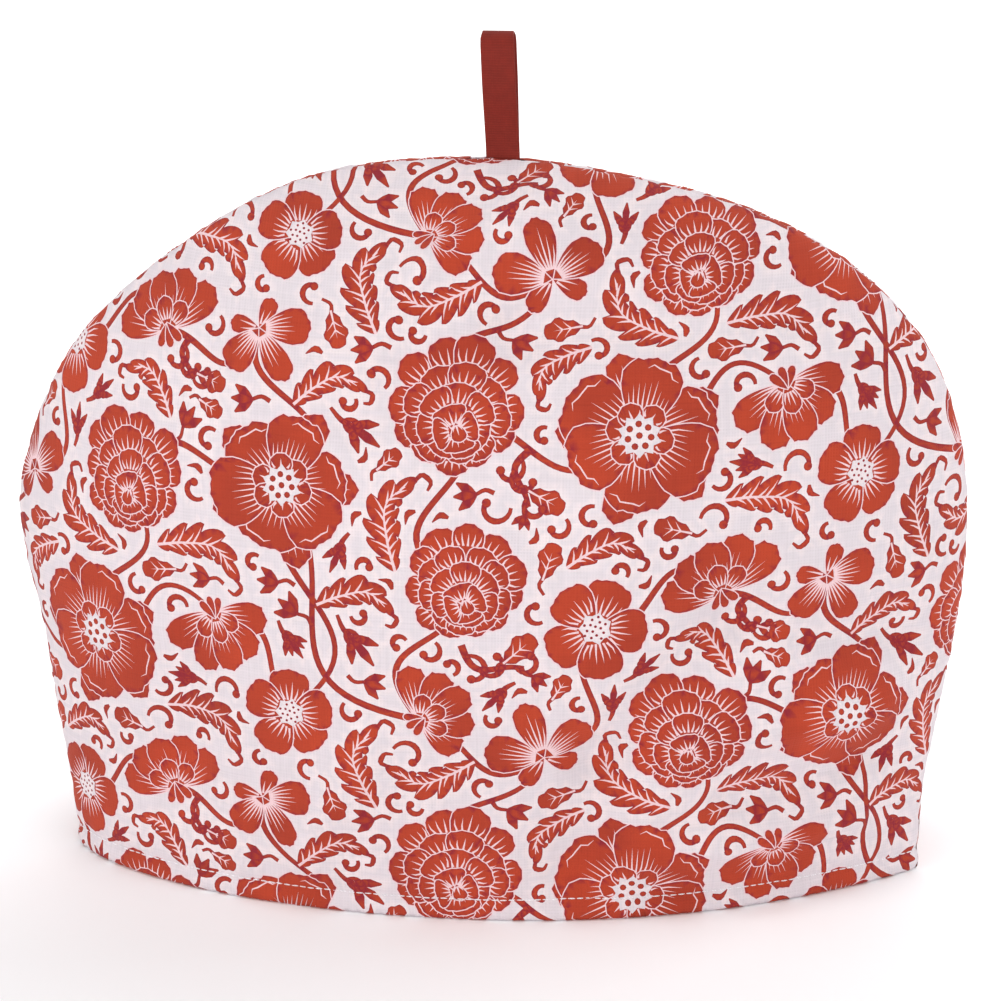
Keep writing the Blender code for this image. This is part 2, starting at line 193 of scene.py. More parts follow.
# Puckers that the stitches draw into the cloth
SEAM_PUCKER = 0.28 * MM
SEAM_PUCKER_REACH = 7.0 * MM
SEAM_PUCKER_WAVES = (11.3, 7.1, 17.9)
HEM_PUCKER = 0.30 * MM
HEM_PUCKER_UP = 10.0 * MM
HEM_PUCKER_REACH = 7.0 * MM
HEM_PUCKER_WAVES = (13.7, 8.9, 23.0)

# The ribbon loop
RIBBON_WIDTH = 12.0 * MM
RIBBON_THICK = 1.0 * MM
LOOP_X = 5.5 * MM
LOOP_LEAN = -1.8 * MM
LOOP_TOP = 314.0 * MM
LOOP_RADIUS = 5.0 * MM
LOOP_FOOT = 264.6 * MM
LOOP_PARTS = 270.6 * MM
LOOP_OPEN = 299.0 * MM
# The ribbon draws in a little at each side where it turns over the top
LOOP_PINCH = 0.07
LOOP_PINCH_HEIGHT = 2.5 * MM
POCKET_SLOPE = 1.3 * MM
RIB_DEPTH = 0.07 * MM
SELVEDGE = 0.45 * MM
RIB_STEPS = 4

# How finely the form is worked out and the cloth is cut
TABLE_ROWS = 420
TABLE_COLUMNS = 301
SECTION_SAMPLES = 1201
OUTLINE_STEP = 3.0
EDGE_RINGS = (0.5, 1.1, 1.9, 3.2)
HEM_ROWS = (0.16, 0.42, 0.8, 1.3, 2.4, 4.0, 5.8, 7.0, 8.0, 9.0, 10.4)
HEM_ROW_STEP = 4.0
OUTER_GRID = 4.2
INSIDE_GRID = 9.0
INSIDE_HEM_ROWS = (0.3, 1.3)
NORMAL_REACH = 0.8 * MM
TINY = 1e-9
TIP_CROWDING = 1.3
MERGE_DISTANCE = 1e-3

# The print, in millimetres on the flat cloth
GROUND, LINE, INK = 0, 1, 2
REPEAT = (206.0, 174.0)
# The next repeat to the right sits half a repeat higher
HALF_DROP = 87.0
PRINT_SEED = 11
RIM = 0.55
RAGGED = 0.016
LINE_WIDTH = 0.42
VEIN_WIDTH = 0.85
BLOOM_CLEARANCE = 2.0
STEM_CLEARANCE = 2.3
FILLER_CLEARANCE = 1.4
FRONT_OFFSET = (-40.0, -20.0)
BACK_OFFSET = (61.0, -74.0)

# Each bloom of one repeat: its kind, where its middle is, how big it is and which way it faces
BLOOM_COLUMNS = ("kind", "x", "y", "radius", "heading")
BLOOMS = (
    ("layered", 34, 38, 24.5, 0),
    ("open", 98, 30, 29.0, 0),
    ("side", 150, 46, 22.0, 200),
    ("simple", 180, 12, 17.5, 0),
    ("lily", 66, 86, 21.0, 15),
    ("layered", 118, 92, 22.5, 0),
    ("open", 178, 96, 27.5, 0),
    ("side", 22, 100, 20.0, -60),
    ("simple", 84, 136, 18.5, 0),
    ("layered", 38, 150, 21.5, 0),
    ("side", 130, 146, 23.0, 20),
    ("lily", 168, 150, 19.0, -150),
)
# Each stem joins two blooms of the table above, bulges to one side and sways to both
STEMS = (
    (0, 4, 9, 6), (0, 1, -12, 5), (1, 2, 7, -8), (1, 5, -7, 8), (2, 3, 10, 4), (4, 8, -9, -7),
    (5, 6, 10, 6), (6, 3, 12, -9), (7, 9, 10, 6), (8, 10, 9, -7), (9, 0, 9, 9), (10, 11, -10, 4),
    (11, 6, 9, -8), (7, 6, 16, 9), (4, 7, 9, 4),
)
STEM_WIDTH = (2.7, 1.7)
STEM_POINTS = 29
# Shoots that try to grow at places along each stem, the first that fits
SHOOT_PLACES = ((0.26, 1), (0.34, -1), (0.43, 1), (0.51, -1), (0.59, 1), (0.67, -1), (0.76, 1))
SHOOT_KINDS = (
    (("leaf", 38), ("scroll", 26), ("leaf", 27), ("scroll", 17), ("tendril", 11), ("tendril", 8)),
    (("scroll", 34), ("scroll", 24), ("leaf", 28), ("bud", 15), ("tendril", 10), ("tendril", 7)),
    (("scroll", 28), ("leaf", 32), ("scroll", 19), ("leaflet", 13), ("tendril", 9), ("tendril", 7)),
)
SHOOT_LEAN = 54
SHOOT_ROOT = 4.6
# What fills the ground between them, largest first: kind, size and how many to try
FILLERS = (
    ("leaf", 44, 5), ("scroll", 40, 6), ("leaf", 34, 7), ("scroll", 31, 10), ("leaf", 27, 8),
    ("sprig", 18, 4), ("scroll", 24, 14), ("bud", 14, 6), ("leaflet", 14, 8), ("scroll", 18, 22),
    ("sprig", 13, 6), ("leaflet", 11, 10), ("scroll", 14, 26), ("tendril", 11, 20), ("tendril", 8, 34),
    ("tendril", 6, 40), ("comma", 6, 16),
)
FILLER_TRIES = 60
SCROLL_CURL = 6.6
BUD_SCROLL = 22.0
COVERING_WIDTH = 2.0

CAMERA_AZIMUTH = 5.0
CAMERA_ELEVATION = 17.0
CAMERA_DISTANCE = 1.2
CAMERA_LENS = 117.15
CAMERA_TARGET = (0.00455, 0.0, 0.14066)


def linear(code):
    """A linear colour from its sRGB hex code."""
    parts = [int(code[i:i + 2], 16) / 255 for i in (0, 2, 4)]
    return [p / 12.92 if p <= 0.04045 else ((p + 0.055) / 1.055) ** 2.4 for p in parts]


# The puffed form


def smooth(at, places, values):
    """Read a smooth curve through a table, with each row's slope taken from its neighbours."""
    slopes = np.gradient(values, places)
    row = np.clip(np.searchsorted(places, at) - 1, 0, len(places) - 2)
    step = places[row + 1] - places[row]
    t = (at - places[row]) / step
    start = (2 * t**3 - 3 * t**2 + 1) * values[row] + (t**3 - 2 * t**2 + t) * step * slopes[row]
    end = (3 * t**2 - 2 * t**3) * values[row + 1] + (t**3 - t**2) * step * slopes[row + 1]
    return start + end


def ease(t):
    """A soft step from 0 to 1."""
    t = np.clip(t, 0.0, 1.0)
    return t * t * (3 - 2 * t)


def bump(distance, width):
    """A soft bell, 1 at no distance."""
    return np.exp(-(distance / width) ** 2)


def seam_half_widths(height):
    """Half widths of the seam's outline, left and right, at the given heights."""
    rows = np.array(SEAM_OUTLINE) * MM
    # Near its top the outline is round, so it is smooth over the root of the height that is left
    left_over = np.sqrt(1 - rows[::-1, SEAM_COLUMNS.index("height")] / SEAM_HEIGHT)
    at = np.sqrt(1 - height / SEAM_HEIGHT)
    left = smooth(at, left_over, rows[::-1, SEAM_COLUMNS.index("left")])
    right = smooth(at, left_over, rows[::-1, SEAM_COLUMNS.index("right")])
    return left, right


def panel_depth(height):
    """How far the middle of a panel stands out from the seam at the given heights."""
    full = HEM_DEPTH + (BELLY_DEPTH - HEM_DEPTH) * ease(height / BELLY_HEIGHT)
    share = np.clip((height - BELLY_HEIGHT) / (SEAM_HEIGHT - BELLY_HEIGHT), 0.0, 1.0)
    return full * (1 - share**2) ** SECTION_FULLNESS


def along(points):
    """Distances along a row of points."""
    return np.concatenate([[0], np.cumsum(np.linalg.norm(np.diff(points, axis=0), axis=1))])


class Form:
    """The puffed form of one panel, before its folds: a table of points over the flat cloth."""

    def __init__(self):
        left_over = np.linspace(1.0, 0.0, TABLE_ROWS)
        height = SEAM_HEIGHT * (1 - left_over**2)
        left, right = seam_half_widths(height)
        left[-1] = right[-1] = 0.0
        depth = panel_depth(height)
        self.up = along(np.stack([0 * height, depth, height], axis=1))
        self.left, self.right = np.zeros(TABLE_ROWS), np.zeros(TABLE_ROWS)
        self.points = np.zeros((TABLE_ROWS, TABLE_COLUMNS, 3))
        share = np.sin(np.linspace(-math.pi / 2, math.pi / 2, SECTION_SAMPLES))
        sides = np.linspace(-1, 1, TABLE_COLUMNS)
        for row in range(TABLE_ROWS):
            hem = 1 - ease(height[row] / HEM_FULLNESS_HEIGHT)
            ends = np.where(share < 0, HEM_FULLNESS_LEFT, HEM_FULLNESS_RIGHT)
            full = SECTION_FULLNESS + (ends - SECTION_FULLNESS) * hem
            x = np.where(share < 0, left[row], right[row]) * share
            y = -depth[row] * (1 - np.abs(share) ** SECTION_POWER).clip(0) ** full
            section = np.stack([x, y, np.full_like(x, height[row])], axis=1)
            across = along(section)
            across = across - across[SECTION_SAMPLES // 2]
            self.left[row], self.right[row] = -across[0], across[-1]
            wanted = np.where(sides < 0, self.left[row], self.right[row]) * sides
            for axis in range(3):
                self.points[row, :, axis] = np.interp(wanted, across, section[:, axis])
        self.draw_in_seam()
        self.normals = self.find_normals()

    def draw_in_seam(self):
        """Pull the seam line in between the two puffed edges, and leave the hem on the floor."""
        inward = -self.points * (1, 0, 1) + (0, 0, DOME_CENTRE_HEIGHT)
        inward /= np.linalg.norm(inward, axis=2, keepdims=True)
        inward[..., 2] *= ease(self.points[..., 2] / SEAM_LEVEL_BELOW)
        amount = SEAM_DRAWN_IN * bump(self.points[..., 1], SEAM_DRAWN_WIDTH)
        self.points = self.points + inward * amount[..., None]

    def find_normals(self):
        normals = np.cross(np.gradient(self.points, axis=1), np.gradient(self.points, axis=0))
        normals[-1] = (0, 0, 1)
        return normals / np.linalg.norm(normals, axis=2, keepdims=True)

    def width(self, across, up):
        """Distance along the cloth from the middle line to the sewn edge, on each point's side."""
        left, right = np.interp(up, self.up, self.left), np.interp(up, self.up, self.right)
        return np.where(across < 0, left, right)

    def read(self, across, up):
        """Points and normals of the form at flat places."""
        row = np.interp(up, self.up, np.arange(TABLE_ROWS))
        side = np.clip(across / np.maximum(self.width(across, up), TINY), -1, 1)
        column = (side + 1) / 2 * (TABLE_COLUMNS - 1)
        low_row = np.minimum(row.astype(int), TABLE_ROWS - 2)
        low_column = np.minimum(column.astype(int), TABLE_COLUMNS - 2)
        r, c = (row - low_row)[:, None], (column - low_column)[:, None]
        found = []
        for table in (self.points, self.normals):
            low = table[low_row, low_column] * (1 - c) + table[low_row, low_column + 1] * c
            high = table[low_row + 1, low_column] * (1 - c) + table[low_row + 1, low_column + 1] * c
            found.append(low * (1 - r) + high * r)
        points, normals = found
        return points, normals / np.linalg.norm(normals, axis=1, keepdims=True)

    def outline(self):
        """The flat panel's edge, from the left hem corner over the top to the right and back."""
        sewn = np.concatenate([
            np.stack([-self.left, self.up], axis=1),
            np.stack([self.right, self.up], axis=1)[::-1][1:],
        ])
        hem = np.array(((self.right[0], 0.0), (-self.left[0], 0.0)))
        return sewn, hem


def fold_relief(points, folds, edge_distance):
    """How far the folds lift the cloth at the given points."""
    lift = np.zeros(len(points))
    place = points[:, (0, 2)]
    for fold in folds:
        row = dict(zip(FOLD_COLUMNS, np.array(fold) * MM))
        start = np.array((row["x0"], row["z0"]))
        run = np.array((row["x1"], row["z1"])) - start
        share = np.clip((place - start) @ run / (run @ run), 0, 1)
        distance = np.linalg.norm(place - start - share[:, None] * run, axis=1)
        lift += row["proud"] * bump(distance, row["width"])
    return lift * ease(edge_distance / FOLD_FADE)


def hem_relief(up):
    """How far the stitch line sinks and the band below it stands proud."""
    sink = -STITCH_SINK * bump(up - STITCH_UP, STITCH_WIDTH)
    return sink + BAND_PROUD * bump(up - BAND_UP, BAND_WIDTH)


def uneven(distance, waves, phase):
    """An uneven ripple along a line: a few waves, in millimetres, that don't fall in step."""
    return sum(np.sin(distance / (wave * MM) * 2 * math.pi + phase * (i + 1))
               for i, wave in enumerate(waves)) / len(waves)


class Panel:
    """One panel of the cosy: where a flat point of its outer or inner face comes to lie."""

    def __init__(self, form, folds, creases, phase, back):
        sharper = tuple((*ends, width * FOLD_NARROWING, proud * FOLD_DEEPENING) for *ends, width, proud in folds)
        self.form, self.folds, self.phase = form, sharper + creases, phase
        self.hand = -1 if back else 1

    def relief(self, points, across, up):
        """How far folds, stitches and their puckers lift the cloth."""
        beside = self.form.width(across, up) - np.abs(across)
        seam = np.minimum(beside, self.form.up[-1] - up)
        lift = fold_relief(points, self.folds, np.minimum(seam, up)) + hem_relief(up)
        turn = np.arctan2(points[:, 2] - DOME_CENTRE_HEIGHT, points[:, 0])
        round_seam = turn * (SEAM_HEIGHT - DOME_CENTRE_HEIGHT)
        clear = ease(up / HEM_PUCKER_UP)
        lift += clear * SEAM_PUCKER * bump(seam - SEAM_PUCKER_REACH / 2, SEAM_PUCKER_REACH) * uneven(
            round_seam, SEAM_PUCKER_WAVES, self.phase)
        lift += HEM_PUCKER * bump(up - HEM_PUCKER_UP, HEM_PUCKER_REACH) * uneven(
            across + up / 2, HEM_PUCKER_WAVES, self.phase + 1)
        return lift

    def place(self, flat, share):
        """Points at flat places: on the outer face at share 0, on the inner face at share 1."""
        across, up = flat[:, 0], flat[:, 1]
        points, normals = self.form.read(across, up)
        thick = CLOTH_THICK - HEM_THIN * (1 - ease(up / HEM_THIN_HEIGHT))
        foot = np.clip(1 - up / HEM_ROUND, 0, 1)
        rounding = HEM_ROUND * (1 - np.sqrt(1 - foot**2))
        inward = thick * share + rounding * (1 - 2 * share)
        points = points + normals * (self.relief(points, across, up) - inward)[:, None]
        beside = (np.abs(points[:, 0] - LOOP_X) - RIBBON_WIDTH / 2 - PIECE_GAP) / POCKET_SLOPE
        room = (1 - np.clip(beside, 0, 1)) * (points[:, 2] > DOME_CENTRE_HEIGHT)
        gap = PIECE_GAP * (0.5 + 0.5 * share) + (RIBBON_THICK + PIECE_GAP) * room
        points[:, 1] = np.minimum(points[:, 1], -gap)
        points[:, 2] = np.where(up < TINY, 0.0, np.maximum(points[:, 2], 0.0))
        return points * (1, self.hand, 1) - LOOP_SHIFT

    def facing(self, flat, share):
        """Normals at flat places, from places a little to each side."""
        across, up = flat[:, 0], flat[:, 1]
        width = self.form.width(across, up)
        sides = [np.clip(across + step, -width, width) for step in (-NORMAL_REACH, NORMAL_REACH)]
        left, right = (self.place(np.stack([side, up], axis=1), share) for side in sides)
        heights = [np.clip(up + step, 0, self.form.up[-1]) for step in (-NORMAL_REACH, NORMAL_REACH)]
        low, high = (self.place(np.stack([across, height], axis=1), share) for height in heights)
        normals = np.cross(right - left, high - low) * self.hand
        length = np.linalg.norm(normals, axis=1, keepdims=True)
        plain = self.form.read(across, up)[1] * (1, self.hand, 1)
        return np.where(length > TINY, normals / np.maximum(length, TINY * TINY), plain)


# The ribbon's box in the frame says where the cosy's middle came to lie
RIBBON_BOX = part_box("tab_loop")
LOOP_SHIFT = np.array((
    LOOP_X + RIBBON_WIDTH / 2 - RIBBON_BOX[1][0],
    -(RIBBON_BOX[0][1] + RIBBON_BOX[1][1]) / 2,
    0.0,
))


# The print's shapes: each motif is a list of outlines and tones, those behind first


def turn(points, degrees):
    """Points turned anticlockwise about the origin."""
    a = math.radians(degrees)
    c, s = math.cos(a), math.sin(a)
    return np.asarray(points, float) @ np.array(((c, s), (-s, c)))


def grow(outline, by):
    """A closed outline, which runs anticlockwise, moved outwards all round."""
    run = np.roll(outline, -1, axis=0) - np.roll(outline, 1, axis=0)
    run /= np.maximum(np.linalg.norm(run, axis=1, keepdims=True), TINY)
    return outline + by * np.stack([run[:, 1], -run[:, 0]], axis=1)


def through(points, count):
    """A smooth open curve through a few points."""
    points = np.asarray(points, float)
    padded = np.concatenate([[2 * points[0] - points[1]], points, [2 * points[-1] - points[-2]]])
    at = np.linspace(0, len(points) - 1, count)
    i = np.minimum(at.astype(int), len(points) - 2)
    t = (at - i)[:, None]
    a, b, c, d = (padded[i + k] for k in range(4))
    return 0.5 * (2 * b + (c - a) * t + (2 * a - 5 * b + 4 * c - d) * t**2 + (3 * b - a - 3 * c + d) * t**3)


def stroke(spine, widths):
    """A pen stroke along a spine, as one closed outline."""
    spine = np.asarray(spine, float)
    run = np.gradient(spine, axis=0)
    run /= np.linalg.norm(run, axis=1, keepdims=True)
    side = np.stack([-run[:, 1], run[:, 0]], axis=1) * np.asarray(widths)[:, None] / 2
    return np.concatenate([spine - side, (spine + side)[::-1]])


def spike(start, middle, end, width):
    """A fine line that runs out to a point."""
    run = (end - start) / np.linalg.norm(end - start)
    side = np.array((-run[1], run[0])) * width / 2
    return np.array((start - side, middle - side * 0.6, end, middle + side * 0.6, start + side))


def disc(centre, radius, count=8):
    """A round spot."""
    a = np.arange(count) * 2 * math.pi / count
    return np.asarray(centre) + radius * np.stack([np.cos(a), np.sin(a)], axis=1)


def petal_outline(length, width, scallops=7, depth=0.035, count=22, fan=0.6):
    """A petal from its root at the origin up along Y: a narrow root and a broad, scalloped end."""
    share = np.arange(count) * 2 / count - 1
    # The points crowd towards the tip, where the scallops are
    a = math.pi * (1 + np.sign(share) * np.abs(share) ** TIP_CROWDING)
    up = 0.5 - 0.5 * np.cos(a)
    x = 0.56 * width * np.sign(np.sin(a)) * np.abs(np.sin(a)) ** 0.85 * up ** fan
    teeth = np.where(np.arange(count) % 2, RAGGED, -RAGGED) if depth else 0.0
    swell = 1 + np.clip(2 * up - 1, 0, 1) * (depth * np.cos(scallops * (a - math.pi)) + teeth)
    waist = np.array((0, 0.45 * length))
    return (np.stack([x, up * length], axis=1) - waist) * swell[:, None] + waist


def veins(length, width, low, high, count, rng):
    """Fine light lines that fan up a petal from its root."""
    lines = []
    for i in range(count):
        side = (i - (count - 1) / 2) / max((count - 1) / 2, 1)
        reach = low + (high - low) * (1 - 0.35 * abs(side)) * rng.uniform(0.8, 1.1)
        start = np.array((side * width * 0.34 * low ** 0.6, low * length))
        end = np.array((side * width * 0.42 * reach ** 0.6, reach * length))
        middle = (start + end) / 2 + (side * width * 0.03, 0)
        lines.append((spike(start, middle, end, VEIN_WIDTH), LINE))
    return lines


def petal(at, heading, length, width, low, high, lines, rng, scallops=7, depth=0.035, fold=0, count=22):
    """A petal with a light line round it, veins up from its root, and maybe a turned-over tip."""
    shape = petal_outline(length, width, scallops, depth, count)
    parts = [(grow(shape, LINE_WIDTH), LINE), (shape, INK)]
    parts += veins(length, width, low, high, lines, rng)
    if fold:
        spread = np.radians(np.linspace(-34, 34, 7)) + fold * 0.35
        out = 0.40 * length * (1 + 0.06 * np.cos(scallops * spread))
        x = width / length * 1.05 * out * np.sin(spread)
        tip = np.stack([x, 0.50 * length + out * np.cos(spread)], axis=1)
        parts.append((stroke(tip, (0.1, 0.45, 0.55, 0.55, 0.55, 0.45, 0.1)), LINE))
    return [(turn(p, heading) + at, tone) for p, tone in parts]


def layered_bloom(radius, rng):
    """A many-petalled bloom: rings of short petals, each over the one outside it."""
    rings = ((1.0, 11), (0.77, 9), (0.55, 7), (0.33, 4), (0.10, 0))
    drift = np.array((0.0, -0.09)) * radius
    parts = []
    for k, (share, count) in enumerate(rings[:-1]):
        next_share = rings[k + 1][0]
        first = rng.uniform(0, 360)
        for i in list(range(0, count, 2)) + list(range(1, count, 2)):
            heading = first + 360 / count * i + rng.uniform(-5, 5)
            away = 1 + 0.12 * math.cos(math.radians(heading))
            out = radius * share * away * rng.uniform(0.93, 1.05)
            root = radius * next_share * 0.40
            length = out - root
            width = 2 * math.pi * out / count * rng.uniform(1.0, 1.2)
            low = max((next_share * radius * 0.92 - root) / length, 0.12)
            at = drift * k + turn((0, root), heading)
            parts += petal(at, heading, length, width, low, low + (1 - low) * 0.74, 5, rng, 7, 0.03, count=20)
    heading = 180 + rng.uniform(-20, 20)
    at = drift * 3.1 + (0, radius * 0.12)
    return parts + petal(at, heading, radius * 0.27, radius * 0.26, 0.12, 0.7, 3, rng, 5, 0.03, count=14)


def open_bloom(radius, rng):
    """A wide-open bloom of broad ruffled petals round a dotted eye."""
    parts = []
    first = rng.uniform(0, 360)
    for i in range(5):
        heading = first + 72 * i + 30 + rng.uniform(-9, 9)
        length = radius * rng.uniform(0.98, 1.08)
        parts += petal((0, 0), heading, length, radius * 0.52, 0.60, 0.90, 5, rng, 9, 0.035, count=26)
    for i in (0, 2, 4, 1, 3, 5):
        heading = first + 60 * i + rng.uniform(-9, 9)
        length, width = radius * rng.uniform(0.84, 1.0), radius * rng.uniform(0.88, 1.08)
        fold = rng.choice((-1, 0, 1))
        parts += petal((0, 0), heading, length, width, 0.20, 0.76, 9, rng, 13, 0.028, fold, 38)
    for i in range(6):
        heading = first + 60 * i + 25 + rng.uniform(-8, 8)
        parts += petal((0, 0), heading, radius * 0.40, radius * 0.36, 0.55, 0.85, 3, rng, 5, 0.04, count=16)
    eye = radius * 0.235
    parts.append((disc((0, 0), eye, 20) * np.where(np.arange(20) % 2, 1.15, 0.88)[:, None], GROUND))
    spots = [np.zeros(2)] + [turn((0, eye * 0.60), first + 360 / 7 * i) for i in range(7)]
    return parts + [(disc(spot, radius * 0.042), INK) for spot in spots]


def simple_bloom(radius, rng, dots=15):
    """A five-petalled bloom with a wide dotted eye."""
    parts = []
    first = rng.uniform(0, 360)
    for i in (0, 2, 4, 1, 3):
        heading = first + 72 * i + rng.uniform(-5, 5)
        length = radius * rng.uniform(0.92, 1.06)
        parts += petal((0, 0), heading, length, radius * 1.05, 0.30, 0.74, 6, rng, 9, 0.03, count=30)
    parts.append((disc((0, 0), radius * 0.27, 14) * np.where(np.arange(14) % 2, 1.2, 0.95)[:, None], GROUND))
    for i in range(dots):
        out = radius * 0.25 * math.sqrt((i + 0.4) / dots)
        parts.append((disc(turn((0, out), 137.5 * i), radius * 0.03, 6), INK))
    return parts


def side_bloom(radius, rng, count=5, spread=140):
    """A bloom seen from the side: petals in a fan above a small pointed cup."""
    parts = []
    for i in sorted(range(count), key=lambda i: -abs(i - (count - 1) / 2)):
        heading = -spread / 2 + spread * i / (count - 1) + rng.uniform(-4, 4)
        length = radius * rng.uniform(0.88, 1.08)
        parts += petal((0, 0), heading, length, radius * 0.66, 0.12, 0.80, 6, rng, 11, 0.035, count=30)
    for heading in (-52, 52, 0):
        parts += petal((0, 0), heading, radius * 0.50, radius * 0.36, 0.3, 0.85, 4, rng, 7, 0.035, count=18)
    for heading in (148, 180, 212):
        at = (0, radius * 0.10)
        parts += petal(at, heading, radius * 0.38, radius * 0.17, 0.5, 0.5, 0, rng, 0, 0, count=12)
    return parts


def lily_bloom(radius, rng):
    """A lily-like bloom: one tall petal, two wide ones and a small pair below."""
    parts = []
    for heading, length, width, lines in (
        (130, 0.62, 0.42, 2), (-128, 0.62, 0.42, 2), (68, 1.0, 0.84, 7), (-68, 0.95, 0.80, 7), (4, 1.08, 0.62, 5),
    ):
        parts += petal((0, 0), heading, radius * length, radius * width, 0.14, 0.80, lines, rng, 9, 0.035, count=28)
    return parts


def long_leaf(length, width, bend, rng, lobes=5):
    """A leaf with deep lobes on a bent spine, light veins, and a tip that hooks over."""
    steps = 43
    knots = ((0, 0), (bend * 0.35, length * 0.33), (bend * 0.50, length * 0.68), (-bend * 0.15, length))
    spine = through(knots, steps)
    run = np.gradient(spine, axis=0)
    run /= np.linalg.norm(run, axis=1, keepdims=True)
    side = np.stack([-run[:, 1], run[:, 0]], axis=1)
    t = np.linspace(0, 1, steps)
    body = np.sin(math.pi * t ** 0.8) ** 0.7
    edges = []
    hands = ((1, 0.60, 0.0), (-1, 0.44, 0.4))
    for hand, share, start in hands:
        lobe = (t * lobes + start) % 1
        tooth = lobe ** 0.8 * (1 - lobe ** 7)
        half = width * share * body * (0.52 + 0.66 * tooth) + 0.3
        lean = run * (width * 0.22 * lobe * body)[:, None]
        edges.append(spine + hand * side * half[:, None] + lean)
    left, right = edges
    parts = [(np.concatenate([right, left[::-1]]), INK)]
    last = int(steps * 0.9)
    parts.append((stroke(spine[:last], np.interp(t, (0, 0.85, 1), (1.1, 0.35, 0.05))[:last]), LINE))
    for hand, share, start in hands:
        for n in np.arange(1, 2.0 * lobes):
            at = (n / 2 - start * 0.5) / lobes
            if not 0.06 < at < 0.84:
                continue
            i = int(at * (steps - 1))
            j = min(i + 4, steps - 1)
            reach = width * share * body[j] * (0.80 if n % 2 else 0.5)
            end = spine[j] + hand * side[j] * reach
            middle = spine[i] * 0.45 + end * 0.55 + run[i] * 0.3
            parts.append((spike(spine[i], middle, end, VEIN_WIDTH), LINE))
    over = -1 if bend > 0 else 1
    hook = through((
        spine[-2], spine[-1] + run[-1] * width * 0.16,
        spine[-1] + run[-1] * width * 0.22 - over * side[-1] * width * 0.30,
        spine[-1] - over * side[-1] * width * 0.42,
    ), 9)
    parts.append((stroke(hook, np.interp(np.linspace(0, 1, 9), (0, 0.5, 1), (1.4, 2.0, 0.9))), INK))
    return parts


def small_leaf(length, rng):
    """A short lobed leaf with light veins and a bent stalk."""
    a = np.arange(26) * 2 * math.pi / 26
    up = 0.5 - 0.5 * np.cos(a)
    x = 0.36 * length * np.sin(a) * (1 + 0.17 * np.cos(7 * a)) * up ** 0.35
    stalk = through(((0, 1), (-0.04 * length, -0.16 * length), (0.16 * length, -0.34 * length)), 6)
    rib = np.array(((0, 0), (0, 0.35 * length), (0, 0.75 * length)))
    parts = [(stroke(stalk, np.linspace(1.6, 1.1, 6)), INK), (np.stack([x, up * length], axis=1), INK)]
    parts.append((spike(*rib, VEIN_WIDTH), LINE))
    for hand in (1, -1):
        for at in (0.3, 0.52):
            line = np.array(((0, at), (hand * 0.10, at + 0.10), (hand * 0.22, at + 0.2))) * length
            parts.append((spike(*line, VEIN_WIDTH * 0.7), LINE))
    return parts


def tendril(size, hand, rng, sweep=1.15):
    """A curl with a round end, from its root at the origin."""
    a = np.linspace(0, sweep * math.pi, 12)
    r = size * (1 - 0.32 * a / a[-1]) / 2
    spine = np.stack([hand * (r * np.cos(a) - r[0]), r * np.sin(a)], axis=1)
    ball = spine[-1] + (hand * 0.24, 0)
    widths = np.interp(a / a[-1], (0, 0.45, 1), (1.3, 2.3, 1.8))
    return [(stroke(spine, widths), INK), (disc(ball, 1.35 + size * 0.03, 10), INK)]


def comma(size, rng):
    """A short fat dash with pointed ends."""
    spine = through(((0, 0), (size * 0.28, size * 0.42), (size * 0.02, size)), 7)
    return [(stroke(spine, np.interp(np.linspace(0, 1, 7), (0, 0.4, 1), (1.1, 2.7, 0.4))), INK)]


def sprig(size, rng, fingers=3):
    """A few pointed fingers on a short stalk, between two curls."""
    stalk = through(((-0.05 * size, -size * 0.25), (0.03 * size, 0.05 * size), (0, 0.4 * size)), 7)
    parts = [(stroke(stalk, np.linspace(1.3, 2.6, 7)), INK)]
    for i in range(fingers):
        tall = size * (0.74 if i == fingers // 2 else 0.58)
        finger = petal_outline(tall, size * 0.22, 0, 0, 12, 0.35)
        finger = finger * np.where(finger[:, 1:] > tall * 0.8, (0.55, 1.06), (1, 1))
        heading = (i - (fingers - 1) / 2) * (104 / fingers)
        parts.append((turn(finger, heading) + (0, size * 0.22), INK))
    for hand in (1, -1):
        for p, tone in tendril(size * 0.44, hand, rng, 1.0):
            parts.append((turn(p, -hand * 66) + (0, size * 0.10), tone))
    return parts


def bud(size):
    """A round bud on a bent stalk, with three pointed lobes."""
    stalk = through(((0, 0), (0.10 * size, 0.22 * size), (0, 0.48 * size)), 7)
    parts = [(stroke(stalk, np.linspace(1.8, 1.3, 7)), INK)]
    for heading in (-34, 34, 0):
        lobe = petal_outline(size * 0.56, size * 0.30, 0, 0, 12, 0.5)
        lobe = lobe * np.where(lobe[:, 1:] > size * 0.46, (0.5, 1.1), (1, 1))
        parts.append((turn(lobe, heading) + (0, size * 0.42), INK))
    return parts


def scroll(size, rng):
    """A branch that sways, with curls and small leaves to both sides, and a curl or a bud at its end."""
    hand = rng.choice((-1, 1))
    count = 9 + round(size / 4)
    t = np.linspace(0, 1, count)
    sway = hand * size * (0.17 * np.sin(math.pi * t) + 0.06 * np.sin(2 * math.pi * t))
    spine = np.stack([sway, size * 0.76 * t], axis=1)
    parts = [(stroke(spine, np.linspace(2.8, 1.8, count)), INK)]
    branches = max(2, round(size / 7))
    reach = SCROLL_CURL * (1 + size / 60)
    for n in range(branches):
        at = int((n + 0.7) / (branches + 0.2) * (count - 1))
        side = hand * (1 if n % 2 else -1)
        if n % 3 == 2:
            parts += moved(small_leaf(reach * 1.5, rng), -side * 62, spine[at] + (side * 2.6, 1.4))
        else:
            parts += moved(tendril(reach * (1.1 - 0.3 * n / branches), side, rng), -side * 44, spine[at])
    if size > BUD_SCROLL:
        return parts + moved(bud(size * 0.36), -hand * 18, spine[-1] - (0, 1))
    return parts + moved(tendril(reach * 0.95, hand, rng), hand * 8, spine[-1])


